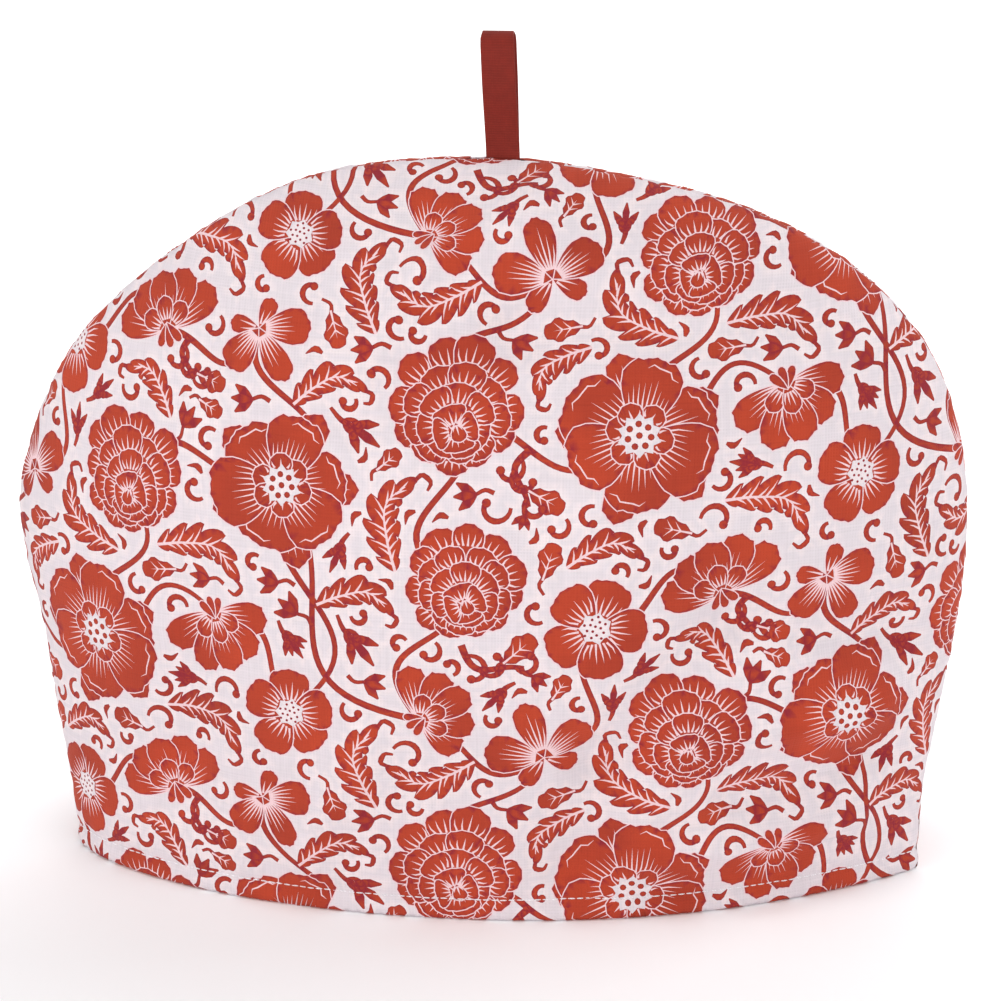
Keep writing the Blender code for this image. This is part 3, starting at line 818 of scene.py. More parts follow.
BLOOM_KINDS = {
    "layered": layered_bloom,
    "open": open_bloom,
    "simple": simple_bloom,
    "side": side_bloom,
    "lily": lily_bloom,
}


def filler(kind, size, hand, rng):
    """A leaf, sprig or curl of a size, turning to one side."""
    if kind == "leaf":
        return long_leaf(size, size * 0.38, hand * size * 0.42, rng, 6 if size > 30 else 5)
    if kind == "scroll":
        return scroll(size, rng)
    if kind == "bud":
        return bud(size)
    if kind == "sprig":
        return sprig(size, rng, int(rng.choice((3, 5))))
    if kind == "leaflet":
        return small_leaf(size, rng)
    if kind == "tendril":
        return tendril(size, hand, rng)
    return comma(size, rng)


# Laying the print out


class Cover:
    """Which places of the repeat are taken, on a grid that joins up with itself at its edges."""

    CELL = 0.8

    def __init__(self):
        self.size = (np.array(REPEAT) / self.CELL).round().astype(int)
        self.cell = np.array(REPEAT) / self.size
        self.taken = np.zeros(self.size, bool)

    def cells(self, points):
        column = np.floor(points[:, 0] / REPEAT[0])
        dropped = points - column[:, None] * (REPEAT[0], HALF_DROP)
        return np.floor(dropped / self.cell).astype(int) % self.size

    def free(self, points):
        c = self.cells(points)
        return not self.taken[c[:, 0], c[:, 1]].any()

    def take(self, points, margin):
        reach = int(math.ceil(margin / self.CELL))
        steps = range(-reach, reach + 1)
        near = [(i, j) for i in steps for j in steps if math.hypot(i, j) * self.CELL <= margin]
        for step in near:
            c = self.cells(points + step * self.cell)
            self.taken[c[:, 0], c[:, 1]] = True


def inside(outline, points):
    """Which points lie inside a closed outline."""
    a, b = outline, np.roll(outline, -1, axis=0)
    x, y = points[:, 0:1], points[:, 1:2]
    crosses = (a[:, 1] > y) != (b[:, 1] > y)
    rise = np.where(b[:, 1] == a[:, 1], TINY, b[:, 1] - a[:, 1])
    at = a[:, 0] + (y - a[:, 1]) / rise * (b[:, 0] - a[:, 0])
    return (crosses & (x < at)).sum(axis=1) % 2 == 1


def footprint(motif, step=1.0):
    """Points that cover a motif's inked shapes."""
    found = []
    for outline, tone in motif:
        if tone != INK:
            continue
        low, high = outline.min(axis=0), outline.max(axis=0)
        columns, rows = np.arange(low[0], high[0], step), np.arange(low[1], high[1], step)
        grid = np.stack(np.meshgrid(columns, rows), axis=-1).reshape(-1, 2)
        found += [outline, grid[inside(outline, grid)]]
    return np.concatenate(found)


class Drawn:
    """The shapes laid on a panel, those behind first, and what of them shows."""

    def __init__(self, shapes):
        self.outlines = [outline for outline, _ in shapes]
        self.tones = [tone for _, tone in shapes]
        self.low = np.array([outline.min(axis=0) for outline in self.outlines])
        self.high = np.array([outline.max(axis=0) for outline in self.outlines])
        self.wide = (self.high - self.low).min(axis=1) > COVERING_WIDTH
        self.shown = [self.shown_edges(i) for i in range(len(shapes))]

    def covers(self, i):
        """Later shapes that may lie over a shape."""
        near = (self.low < self.high[i]).all(axis=1) & (self.high > self.low[i]).all(axis=1) & self.wide
        near[:i + 1] = False
        return [self.outlines[j] for j in np.flatnonzero(near)]

    def shown_edges(self, i):
        """Which edges of a shape aren't wholly under one later shape."""
        outline = self.outlines[i]
        shown = np.ones(len(outline), bool)
        middles = (outline + np.roll(outline, -1, axis=0)) / 2
        for cover in self.covers(i):
            under, across = inside(cover, outline), inside(cover, middles)
            shown &= ~(under & np.roll(under, -1) & across)
        return shown

    def edges(self):
        """The points and edges that show, for all shapes together, and which points are the ink's."""
        points, edges, inked, first = [], [], [], 0
        for outline, tone, shown in zip(self.outlines, self.tones, self.shown):
            used = shown | np.roll(shown, 1)
            here = np.cumsum(used) - 1 + first
            starts = np.flatnonzero(shown)
            edges.append(np.stack([here[starts], here[(starts + 1) % len(outline)]], axis=1))
            points.append(outline[used])
            inked.append(np.full(int(used.sum()), tone == INK))
            first += int(used.sum())
        return np.concatenate(points), np.concatenate(edges), np.concatenate(inked)

    def full_colour_points(self):
        """Points a rim's width inside the inked shapes, where no later shape covers them."""
        found = []
        for i, outline in enumerate(self.outlines):
            if self.tones[i] != INK or not self.wide[i]:
                continue
            points = grow(outline, -RIM)[::2][self.shown[i][::2]]
            apart = np.linalg.norm(points[:, None] - outline[None], axis=2).min(axis=1)
            points = points[inside(outline, points) & (apart > RIM * 0.8)]
            for cover in self.covers(i):
                if len(points):
                    points = points[~inside(cover, points)]
            found.append(points)
        return np.concatenate(found)

    def tone_at(self, places):
        """The topmost tone at each place."""
        order = np.argsort(places[:, 0])
        sorted_x = places[order, 0]
        tone = np.full(len(places), GROUND)
        for outline, value, low, high in zip(self.outlines, self.tones, self.low, self.high):
            near = order[np.searchsorted(sorted_x, low[0]):np.searchsorted(sorted_x, high[0])]
            near = near[(places[near, 1] > low[1]) & (places[near, 1] < high[1])]
            tone[near[inside(outline, places[near])]] = value
        return tone


def moved(motif, heading, at):
    """A motif turned, then moved."""
    return [(turn(outline, heading) + at, tone) for outline, tone in motif]


def stem_spines():
    """The middle lines of the stems between blooms, across the repeat's edges where that is nearer."""
    centres = np.array([bloom[1:3] for bloom in BLOOMS], float)
    t = np.linspace(0, 1, STEM_POINTS)[:, None]
    spines = []
    for a, b, bulge, sway in STEMS:
        ways = [centres[b] - centres[a] + (column * REPEAT[0], column * HALF_DROP + row * REPEAT[1])
                for column in (-1, 0, 1) for row in (-2, -1, 0, 1, 2)]
        gap = min(ways, key=np.linalg.norm)
        side = np.array((-gap[1], gap[0])) / np.linalg.norm(gap)
        off = bulge * np.sin(math.pi * t) + sway * np.sin(2 * math.pi * t)
        spines.append(centres[a] + gap * t + side * off)
    return spines


def grow_shoots(spines, cover, rng):
    """Leaves, sprigs and curls that grow from the stems where there is room."""
    motifs = []
    for number, spine in enumerate(spines):
        for turned, (share, hand) in enumerate(SHOOT_PLACES):
            i = int(share * (STEM_POINTS - 1))
            run = spine[i + 1] - spine[i - 1]
            heading = math.degrees(math.atan2(-run[0], run[1])) - hand * SHOOT_LEAN
            for kind, size in SHOOT_KINDS[(number + turned) % len(SHOOT_KINDS)]:
                motif = moved(filler(kind, size, hand, rng), heading, spine[i])
                points = footprint(motif)
                away = np.linalg.norm(points - spine[i], axis=1) > SHOOT_ROOT
                if cover.free(points[away]):
                    motifs.append(motif)
                    cover.take(points, FILLER_CLEARANCE)
                    break
    return motifs


def fill_ground(cover, rng):
    """Leaves, sprigs and curls in the ground that is left, largest first."""
    motifs = []
    for kind, size, count in FILLERS:
        placed = 0
        for attempt in range(count * FILLER_TRIES):
            if placed == count:
                break
            if attempt % 10 == 0:
                motif = filler(kind, size, rng.choice((-1, 1)), rng)
                shape = footprint(motif)
                middle = (shape.min(axis=0) + shape.max(axis=0)) / 2
                open_cells = np.argwhere(~cover.taken)
            at = (open_cells[rng.integers(len(open_cells))] + 0.5) * cover.cell
            for heading in rng.uniform(0, 360, 6):
                points = turn(shape - middle, heading) + at
                if cover.free(points):
                    motifs.append(moved(motif, heading, at - turn(middle, heading)))
                    cover.take(points, FILLER_CLEARANCE)
                    placed += 1
                    break
    return motifs


def draw_repeat():
    """One repeat of the print: its motifs, those behind first."""
    rng = np.random.default_rng(PRINT_SEED)
    cover = Cover()
    spines = stem_spines()
    motifs = [[(stroke(spine, np.linspace(*STEM_WIDTH, STEM_POINTS)), INK)] for spine in spines]
    blooms = [moved(BLOOM_KINDS[kind](radius, rng), heading, (x, y)) for kind, x, y, radius, heading in BLOOMS]
    for bloom in blooms:
        cover.take(footprint(bloom), BLOOM_CLEARANCE)
    for spine in spines:
        cover.take(spine, STEM_CLEARANCE)
    shoots = grow_shoots(spines, cover, rng)
    return motifs + shoots + blooms + fill_ground(cover, rng)


# Cutting and laying the cloth


def spaced(points, step):
    """Points along a line at even steps, with its two ends."""
    length = along(points)
    at = np.linspace(0, length[-1], max(round(length[-1] / step), 1) + 1)
    return np.stack([np.interp(at, length, points[:, axis]) for axis in (0, 1)], axis=1)


def flat_outline(form):
    """The flat panel's closed edge in millimetres, anticlockwise."""
    sewn, hem = form.outline()
    sewn = spaced(sewn / MM, OUTLINE_STEP)
    hem = spaced(hem / MM, OUTLINE_STEP)
    return np.concatenate([sewn[:-1], hem[:-1]])[::-1]


def cloth_points(form, outline, rings, rows, step):
    """Flat points inside the panel: rings along the sewn edge, rows along the hem, and a grid."""
    sewn, _ = form.outline()
    sewn = spaced(sewn / MM, HEM_ROW_STEP)
    run = np.gradient(sewn, axis=0)
    inward = np.stack([run[:, 1], -run[:, 0]], axis=1) / np.linalg.norm(run, axis=1, keepdims=True)
    found = [sewn + inward * ring for ring in rings]
    across = np.arange(-form.left[0] / MM, form.right[0] / MM, HEM_ROW_STEP)
    found += [np.stack([across + row % HEM_ROW_STEP, np.full_like(across, row)], axis=1) for row in rows]
    left, low = outline.min(axis=0)
    right, high = outline.max(axis=0)
    for i, up in enumerate(np.arange(max(rows) + step / 2, high, step * math.sqrt(0.75))):
        across = np.arange(left, right, step) + step / 2 * (i % 2)
        found.append(np.stack([across, np.full_like(across, up)], axis=1))
    points = np.concatenate(found)
    return points[inside(outline, points)]


def reach_of(low, high, start, step):
    """The first and last repeat, one past each end, that can show between two places."""
    return math.floor((low - start) / step) - 1, math.ceil((high - start) / step) + 1


def laid_print(motifs, offset, outline):
    """The repeat's shapes that fall on the panel, in millimetres."""
    low, high = outline.min(axis=0), outline.max(axis=0)
    shifts = []
    for column in range(*reach_of(low[0], high[0], offset[0], REPEAT[0])):
        lift = offset[1] + column * HALF_DROP
        for row in range(*reach_of(low[1], high[1], lift, REPEAT[1])):
            shifts.append(np.array((offset[0] + column * REPEAT[0], lift + row * REPEAT[1])))
    shapes = []
    for motif in motifs:
        for shift in shifts:
            for shape, tone in motif:
                placed = shape + shift
                if (placed.max(axis=0) > low).all() and (placed.min(axis=0) < high).all():
                    shapes.append((placed, tone))
    return Drawn(shapes)


def triangulate(outline, points, edges=()):
    """Cut flat cloth in triangles along its outline and other edges, through other points."""
    count = len(outline)
    corners = [Vector(p) for p in np.concatenate([outline, points])]
    edges = [(int(a) + count, int(b) + count) for a, b in edges]
    faces = [list(range(count))]
    coords, _, cut, _, _, owners = delaunay_2d_cdt(corners, edges, faces, 0, MERGE_DISTANCE, True)
    coords = np.array([tuple(c) for c in coords])
    faces = np.array([face for face, owner in zip(cut, owners) if owner])
    used, faces = np.unique(faces, return_inverse=True)
    return coords[used], faces.reshape(-1, 3)


def edge_loop(faces):
    """The points of a sheet's edge in order, the way its faces run, with the face at each step."""
    steps = np.stack([faces, np.roll(faces, -1, axis=1)], axis=2).reshape(-1, 2)
    owner = np.repeat(np.arange(len(faces)), 3)
    base = faces.max() + 1
    outer = ~np.isin(steps[:, 0] * base + steps[:, 1], steps[:, 1] * base + steps[:, 0])
    following = {a: (b, face) for (a, b), face in zip(steps[outer].tolist(), owner[outer])}
    here = min(following)
    loop, at = [], []
    while len(loop) < len(following):
        loop.append(here)
        here, face = following[here]
        at.append(face)
    return np.array(loop), np.array(at)


def colour_strength(flat, corners):
    """How full the colour is at each flat point: none on an edge of the ink, full a rim away."""
    tree = KDTree(len(corners))
    for i, (x, y) in enumerate(corners):
        tree.insert((x, y, 0), i)
    tree.balance()
    away = np.array([tree.find((x, y, 0))[2] for x, y in flat])
    return np.clip(away / RIM, 0, 1)


def panel_mesh(panel, motifs, offset, name):
    """The mesh of one panel: printed outside, plain inside, turned in at the seam and the hem."""
    outline = flat_outline(panel.form)
    drawn = laid_print(motifs, offset, outline)
    corners, edges, inked = drawn.edges()
    grid = cloth_points(panel.form, outline, EDGE_RINGS, HEM_ROWS, OUTER_GRID)
    flat, faces = triangulate(outline, np.concatenate([corners, drawn.full_colour_points(), grid]), edges)
    tone = drawn.tone_at(flat[faces].mean(axis=1))
    loop, beside = edge_loop(faces)
    grid = cloth_points(panel.form, outline, (), INSIDE_HEM_ROWS, INSIDE_GRID)
    in_flat, in_faces = triangulate(flat[loop], grid)
    in_loop, _ = edge_loop(in_faces)
    nearest = np.linalg.norm(in_flat[in_loop] - flat[loop[0]], axis=1).argmin()
    in_loop = np.roll(in_loop, -nearest)
    if len(in_loop) != len(loop):
        raise RuntimeError(f"{name}: the inside has {len(in_loop)} edge points and the outside {len(loop)}")
    points = np.concatenate([panel.place(flat * MM, 0.0), panel.place(in_flat * MM, 1.0)])
    normals = np.concatenate([panel.facing(flat * MM, 0.0), -panel.facing(in_flat * MM, 1.0)])
    shift = len(flat)
    out_next, in_next = np.roll(loop, -1), np.roll(in_loop, -1)
    strip = np.stack([out_next, loop, in_loop + shift, in_next + shift], axis=1)
    all_faces = [faces, in_faces[:, ::-1] + shift, strip]
    if panel.hand < 0:
        all_faces = [part[:, ::-1] for part in all_faces]
    tones = np.concatenate([tone, np.full(len(in_faces), GROUND), tone[beside]])
    strength = np.concatenate([colour_strength(flat, corners[inked]), np.ones(len(in_flat))])
    mesh = bpy.data.meshes.new(name)
    mesh.from_pydata(points.tolist(), [], [face for part in all_faces for face in part.tolist()])
    mesh.shade_smooth()
    add_attribute(mesh, "ink", "FACE", tones == INK)
    add_attribute(mesh, "line", "FACE", tones == LINE)
    add_attribute(mesh, "strength", "POINT", strength)
    counts = [len(part) for part in all_faces]
    mesh.polygons.foreach_set("material_index", np.repeat((0, 1, 0), counts).astype(np.int32))
    add_maps(mesh, np.concatenate([flat, in_flat]), counts, len(loop))
    mesh.normals_split_custom_set_from_vertices(normals.tolist())
    return mesh


def add_attribute(mesh, name, domain, values):
    """Store a number on each face or point."""
    attribute = mesh.attributes.new(name, "FLOAT", domain)
    attribute.data.foreach_set("value", np.asarray(values, np.float32))


def add_maps(mesh, flat, counts, steps):
    """The cut map, which is the flat cloth in millimetres, and the unfolded map for baking."""
    corners = np.zeros(len(mesh.loops), np.int32)
    mesh.loops.foreach_get("vertex_index", corners)
    cut = flat[corners]
    mesh.uv_layers.new(name="cut").data.foreach_set("uv", (cut * MM).astype(np.float32).ravel())
    low, size = flat.min(axis=0), np.ptp(flat, axis=0).max()
    outside, inside_end = counts[0] * 3, (counts[0] + counts[1]) * 3
    unfolded = (cut - low) / size
    inside_share = 0.3
    top = 0.25
    unfolded[:outside] = unfolded[:outside] * 0.99 + (0.005, top)
    unfolded[outside:inside_end] = unfolded[outside:inside_end] * inside_share + (0.005, 0.005)
    step = np.arange(steps)
    strip = np.stack([step + 1, step, step, step + 1], axis=1) / steps * 0.6 + 0.36
    rows = np.broadcast_to((0.1, 0.1, 0.12, 0.12), strip.shape)
    if len(strip):
        unfolded[inside_end:] = np.stack([strip, rows], axis=-1).reshape(-1, 2)
    mesh.uv_layers.new(name="OFBake").data.foreach_set("uv", unfolded.astype(np.float32).ravel())


# Materials


def node(tree, kind, sockets=(), **settings):
    """Add one node: its settings by name, and a value or a link for each input that is given."""
    made = tree.nodes.new(kind)
    for name, value in settings.items():
        setattr(made, name, value)
    for name, value in dict(sockets).items():
        if isinstance(value, bpy.types.NodeSocket):
            tree.links.new(value, made.inputs[name])
        else:
            made.inputs[name].default_value = value
    return made


def new_material(name, **values):
    """A material with its Principled shader's own values set, and the tree and shader to build on."""
    material = bpy.data.materials.new(name)
    material.use_nodes = True
    shader = material.node_tree.nodes["Principled BSDF"]
    for socket, value in values.items():
        shader.inputs[socket.replace("_", " ")].default_value = value
    return material, material.node_tree, shader


def cotton_weave(tree, shader, props, colour, strength):
    """Plain-weave cotton: threads both ways with slubs, which tint the colour and raise the surface.

    The threads are about 0.3 mm and don't show at the photo's scale, so they are drawn a little
    coarser, and thick yarns here and there run along and across the cloth as slubs do. Where the
    threads dip, the colour is darkened a little as painted shade.
    """
    cut = node(tree, "ShaderNodeUVMap", uv_map="cut").outputs["UV"]
    heights, tints = [], []
    for axis in ("X", "Y"):
        bands = node(tree, "ShaderNodeTexWave", {
            "Vector": cut, "Scale": 0.314 / (props.thread_pitch * 2), "Distortion": 1.2, "Detail": 1.0,
            "Detail Scale": 0.6,
        }, wave_type="BANDS", bands_direction=axis)
        heights.append(bands.outputs["Fac"])
        stretch = (0.05, 1.0, 1.0) if axis == "Y" else (1.0, 0.05, 1.0)
        yarns = node(tree, "ShaderNodeMapping", {"Vector": cut, "Scale": stretch})
        slubs = node(tree, "ShaderNodeTexNoise", {
            "Vector": yarns.outputs["Vector"], "Scale": 1 / props.slub_pitch, "Detail": 2.0, "Roughness": 0.6,
        })
        tints.append(slubs.outputs["Fac"])
    weave = node(tree, "ShaderNodeMath", {0: heights[0], 1: heights[1]}, operation="MAXIMUM").outputs[0]
    slub = node(tree, "ShaderNodeMath", {0: tints[0], 1: tints[1]}, operation="ADD").outputs[0]
    shade = node(tree, "ShaderNodeMapRange", {
        "Value": slub, "From Min": 0.75, "From Max": 1.25, "To Min": 0.95, "To Max": 1.03,
    }).outputs["Result"]
    # Painted shade: the colour darkens a little where the weave is low between threads
    painted_weave_shade = node(tree, "ShaderNodeMapRange", {"Value": weave, "To Min": 0.95, "To Max": 1.0}).outputs["Result"]
    tint = node(tree, "ShaderNodeMath", {0: shade, 1: painted_weave_shade}, operation="MULTIPLY").outputs[0]
    toned = node(tree, "ShaderNodeMix", {"Factor": 1.0, "A": colour, "B": tint},
                 data_type="RGBA", blend_type="MULTIPLY")
    tree.links.new(toned.outputs["Result"], shader.inputs["Base Color"])
    height = node(tree, "ShaderNodeMath", {0: slub, 1: 1.5, 2: weave}, operation="MULTIPLY_ADD").outputs[0]
    raised = node(tree, "ShaderNodeBump", {
        "Height": height, "Strength": strength, "Distance": props.thread_pitch * 0.25,
    })
    tree.links.new(raised.outputs["Normal"], shader.inputs["Normal"])


def printed_cotton(props):
    """Plain-weave cotton, screen printed: matt, with a faint bloom of fibres at grazing angles.

    The ink is orange-red where it lies full and crimson in its thin lines and along its edges. The
    ground is whiter and pinker close to the ink, and so are the fine lines left open in it.
    """
    material, tree, shader = new_material(
        "printed_plain_weave_cotton", Roughness=0.9, IOR=1.45, Specular_IOR_Level=0.25,
        Sheen_Weight=0.04, Sheen_Roughness=0.5)
    strength = node(tree, "ShaderNodeAttribute", attribute_name="strength").outputs["Fac"]
    clouds = node(tree, "ShaderNodeTexNoise", {
        "Vector": node(tree, "ShaderNodeUVMap", uv_map="cut").outputs["UV"], "Scale": 22.0, "Detail": 3.0,
    }).outputs["Fac"]
    depth = node(tree, "ShaderNodeMapRange", {
        "Value": clouds, "From Min": 0.35, "From Max": 0.65, "To Min": 0.0, "To Max": 1.0,
    }).outputs["Result"]
    full = node(tree, "ShaderNodeMix", {
        "Factor": depth, "A": (*props.ink_full, 1), "B": (*props.ink_deep, 1),
    }, data_type="RGBA").outputs["Result"]
    ink = node(tree, "ShaderNodeMix", {
        "Factor": strength, "A": (*props.ink_rim, 1), "B": full,
    }, data_type="RGBA").outputs["Result"]
    ground = node(tree, "ShaderNodeMix", {
        "Factor": strength, "A": (*props.beside_ink, 1), "B": (*props.ground, 1),
    }, data_type="RGBA").outputs["Result"]
    plain = node(tree, "ShaderNodeMix", {
        "Factor": node(tree, "ShaderNodeAttribute", attribute_name="line").outputs["Fac"],
        "A": ground, "B": (*props.open_line, 1),
    }, data_type="RGBA").outputs["Result"]
    colour = node(tree, "ShaderNodeMix", {
        "Factor": node(tree, "ShaderNodeAttribute", attribute_name="ink").outputs["Fac"],
        "A": plain, "B": ink,
    }, data_type="RGBA").outputs["Result"]
    cotton_weave(tree, shader, props, colour, 0.5)
    return material


def plain_cotton(props):
    """Undyed plain-weave cotton for the inside: the same cloth with no print."""
    material, tree, shader = new_material(
        "undyed_plain_weave_cotton", Roughness=0.88, IOR=1.45, Sheen_Weight=0.04, Sheen_Roughness=0.5)
    clouds = node(tree, "ShaderNodeTexNoise", {
        "Vector": node(tree, "ShaderNodeUVMap", uv_map="cut").outputs["UV"], "Scale": 40.0, "Detail": 2.0,
    }).outputs["Fac"]
    colour = node(tree, "ShaderNodeMix", {
        "Factor": clouds, "A": (*props.inside, 1), "B": (*props.ground, 1),
    }, data_type="RGBA").outputs["Result"]
    cotton_weave(tree, shader, props, colour, 0.5)
    return material


def ribbed_ribbon(props):
    """Grosgrain ribbon of dyed polyester: close cross ribs, a dull lustre and firm woven edges."""
    material, tree, shader = new_material(
        "grosgrain_polyester_ribbon", Roughness=0.7, IOR=1.5, Specular_IOR_Level=0.2,
        Sheen_Weight=0.02, Sheen_Roughness=0.4)
    cut = node(tree, "ShaderNodeUVMap", uv_map="cut").outputs["UV"]
    fine = node(tree, "ShaderNodeMapping", {"Vector": cut, "Scale": (1.0, 0.12, 1.0)}).outputs["Vector"]
    threads = node(tree, "ShaderNodeTexNoise", {"Vector": fine, "Scale": 2600.0, "Detail": 2.0}).outputs["Fac"]
    worn = node(tree, "ShaderNodeTexNoise", {"Vector": cut, "Scale": 160.0, "Detail": 3.0}).outputs["Fac"]
    groove = node(tree, "ShaderNodeAttribute", attribute_name="groove").outputs["Fac"]
    shade = node(tree, "ShaderNodeMath", {0: threads, 1: worn}, operation="ADD").outputs[0]
    # Painted shade: the ribs' grooves darken the ribbon's colour, on top of the random tone of its threads and wear
    rib_tone_and_painted_groove_shade = node(tree, "ShaderNodeMath", {0: groove, 1: -0.5, 2: shade}, operation="MULTIPLY_ADD").outputs[0]
    tint = node(tree, "ShaderNodeMapRange", {
        "Value": rib_tone_and_painted_groove_shade, "From Min": 0.3, "From Max": 1.3, "To Min": 0.80, "To Max": 1.15,
    }).outputs["Result"]
    toned = node(tree, "ShaderNodeMix", {"Factor": 1.0, "A": (*props.ribbon, 1), "B": tint},
                 data_type="RGBA", blend_type="MULTIPLY")
    tree.links.new(toned.outputs["Result"], shader.inputs["Base Color"])
    raised = node(tree, "ShaderNodeBump", {"Height": threads, "Strength": 0.4, "Distance": 0.00012})
    tree.links.new(raised.outputs["Normal"], shader.inputs["Normal"])
    return material


def spun_thread(props):
    """Spun polyester sewing thread: off-white, softly lit, with its twist as slanting bands."""
    material, tree, shader = new_material(
        "spun_polyester_thread", Roughness=0.7, IOR=1.5, Sheen_Weight=0.2)
    place = node(tree, "ShaderNodeTexCoord").outputs["Object"]
    twist = node(tree, "ShaderNodeTexWave", {"Vector": place, "Scale": 500.0, "Distortion": 0.5},
                 wave_type="BANDS", bands_direction="DIAGONAL").outputs["Fac"]
    # Painted shade: the twist's bands darken the thread's colour in the grooves between the plies, as well as
    # raising its surface
    tint = node(tree, "ShaderNodeMapRange", {"Value": twist, "To Min": 0.78, "To Max": 1.0}).outputs["Result"]
    toned = node(tree, "ShaderNodeMix", {"Factor": 1.0, "A": (*props.thread, 1), "B": tint},
                 data_type="RGBA", blend_type="MULTIPLY")
    tree.links.new(toned.outputs["Result"], shader.inputs["Base Color"])
    raised = node(tree, "ShaderNodeBump", {"Height": twist, "Strength": 0.4, "Distance": 0.0001})
    tree.links.new(raised.outputs["Normal"], shader.inputs["Normal"])
    return material


def painted_board(props):
    """Matt painted board for the floor and backdrop, with the faintest unevenness."""
    material, tree, shader = new_material("matt_painted_board", Roughness=0.9)
    place = node(tree, "ShaderNodeTexCoord").outputs["Object"]
    clouds = node(tree, "ShaderNodeTexNoise", {"Vector": place, "Scale": 3.0}).outputs["Fac"]
    tint = node(tree, "ShaderNodeMapRange", {"Value": clouds, "To Min": 0.99, "To Max": 1.0}).outputs["Result"]
    toned = node(tree, "ShaderNodeMix", {"Factor": 1.0, "A": (*props.floor, 1), "B": tint},
                 data_type="RGBA", blend_type="MULTIPLY")
    tree.links.new(toned.outputs["Result"], shader.inputs["Base Color"])
    return material


# The ribbon loop


def loop_route(props):
    """The middle of the ribbon, seen from the side: up the front, over the top and down the back."""
    near = PIECE_GAP / 2 + RIBBON_THICK / 2
    shoulder = LOOP_TOP - RIBBON_THICK / 2 - LOOP_RADIUS
    heights = np.linspace(LOOP_FOOT, shoulder, 200)
    half = near + (LOOP_RADIUS - near) * ease((heights - LOOP_PARTS) / (LOOP_OPEN - LOOP_PARTS))
    front = np.stack([-half, heights], axis=1)
    over = np.linspace(0, math.pi, 60)[1:-1]
    arc = np.stack([-LOOP_RADIUS * np.cos(over), shoulder + LOOP_RADIUS * np.sin(over)], axis=1)
    route = np.concatenate([front, arc, front[::-1] * (-1, 1)])
    length = along(route)[-1]
    ribs = round(length / props.rib_pitch)
    return spaced(route, length / (ribs * RIB_STEPS)), ribs


def ribbon_section(depth):
    """The ribbon's section across its width, rounded at both selvedges: sideways and outwards."""
    half, thick = RIBBON_WIDTH / 2, RIBBON_THICK / 2
    turns = np.linspace(-math.pi / 2, math.pi / 2, 5)
    end = np.stack([half - SELVEDGE + SELVEDGE * np.cos(turns), (thick - depth) * np.sin(turns)], axis=1)
    flat = np.linspace(half - 2 * SELVEDGE, -half + 2 * SELVEDGE, 7)
    top = np.stack([flat, np.full_like(flat, thick - depth)], axis=1)
    return np.concatenate([end, top, end[::-1] * (-1, 1), top[::-1] * (1, -1)])


def ribbon_mesh(props, name):
    """The folded ribbon as one closed strip with a rib every rib pitch."""
    route, ribs = loop_route(props)
    run = np.gradient(route, axis=0)
    run /= np.linalg.norm(run, axis=1, keepdims=True)
    outward = np.stack([-run[:, 1], run[:, 0]], axis=1)
    rib = 0.5 - 0.5 * np.cos(np.arange(len(route)) * 2 * math.pi / RIB_STEPS)
    points, groove, flat = [], [], []
    length = along(route)
    for i, ((y, z), (ny, nz)) in enumerate(zip(route, outward)):
        lean = LOOP_X + LOOP_LEAN * max(z - SEAM_HEIGHT, 0) / (LOOP_TOP - SEAM_HEIGHT)
        narrowed = 1 - LOOP_PINCH * ease(1 - (LOOP_TOP - z) / LOOP_PINCH_HEIGHT)
        for across, off in ribbon_section(RIB_DEPTH * rib[i]):
            points.append((lean + across * narrowed, y + ny * off, z + nz * off))
            groove.append(rib[i])
            flat.append((across, length[i]))
    around = len(ribbon_section(0))
    faces = []
    for i in range(len(route) - 1):
        for side in range(around):
            following = (side + 1) % around
            faces.append((around * i + side, around * i + following,
                          around * (i + 1) + following, around * (i + 1) + side))
    last = around * (len(route) - 1)
    faces.append(tuple(range(around))[::-1])
    faces.append(tuple(range(last, last + around)))
    mesh = bpy.data.meshes.new(name)
    mesh.from_pydata((np.array(points) - LOOP_SHIFT).tolist(), [], faces)
    fix_outward(mesh)
    mesh.shade_smooth()
    mesh.set_sharp_from_angle(angle=math.radians(60))
    add_attribute(mesh, "groove", "POINT", groove)
    corners = np.zeros(len(mesh.loops), np.int32)
    mesh.loops.foreach_get("vertex_index", corners)
    uv = np.array(flat, np.float32)[corners]
    mesh.uv_layers.new(name="cut").data.foreach_set("uv", uv.ravel())
    return mesh


def fix_outward(mesh):
    """Turn a closed mesh's faces outwards."""
    import bmesh
    shape = bmesh.new()
    shape.from_mesh(mesh)
    bmesh.ops.recalc_face_normals(shape, faces=shape.faces)
    shape.to_mesh(mesh)
    shape.free()


# The hem's stitches


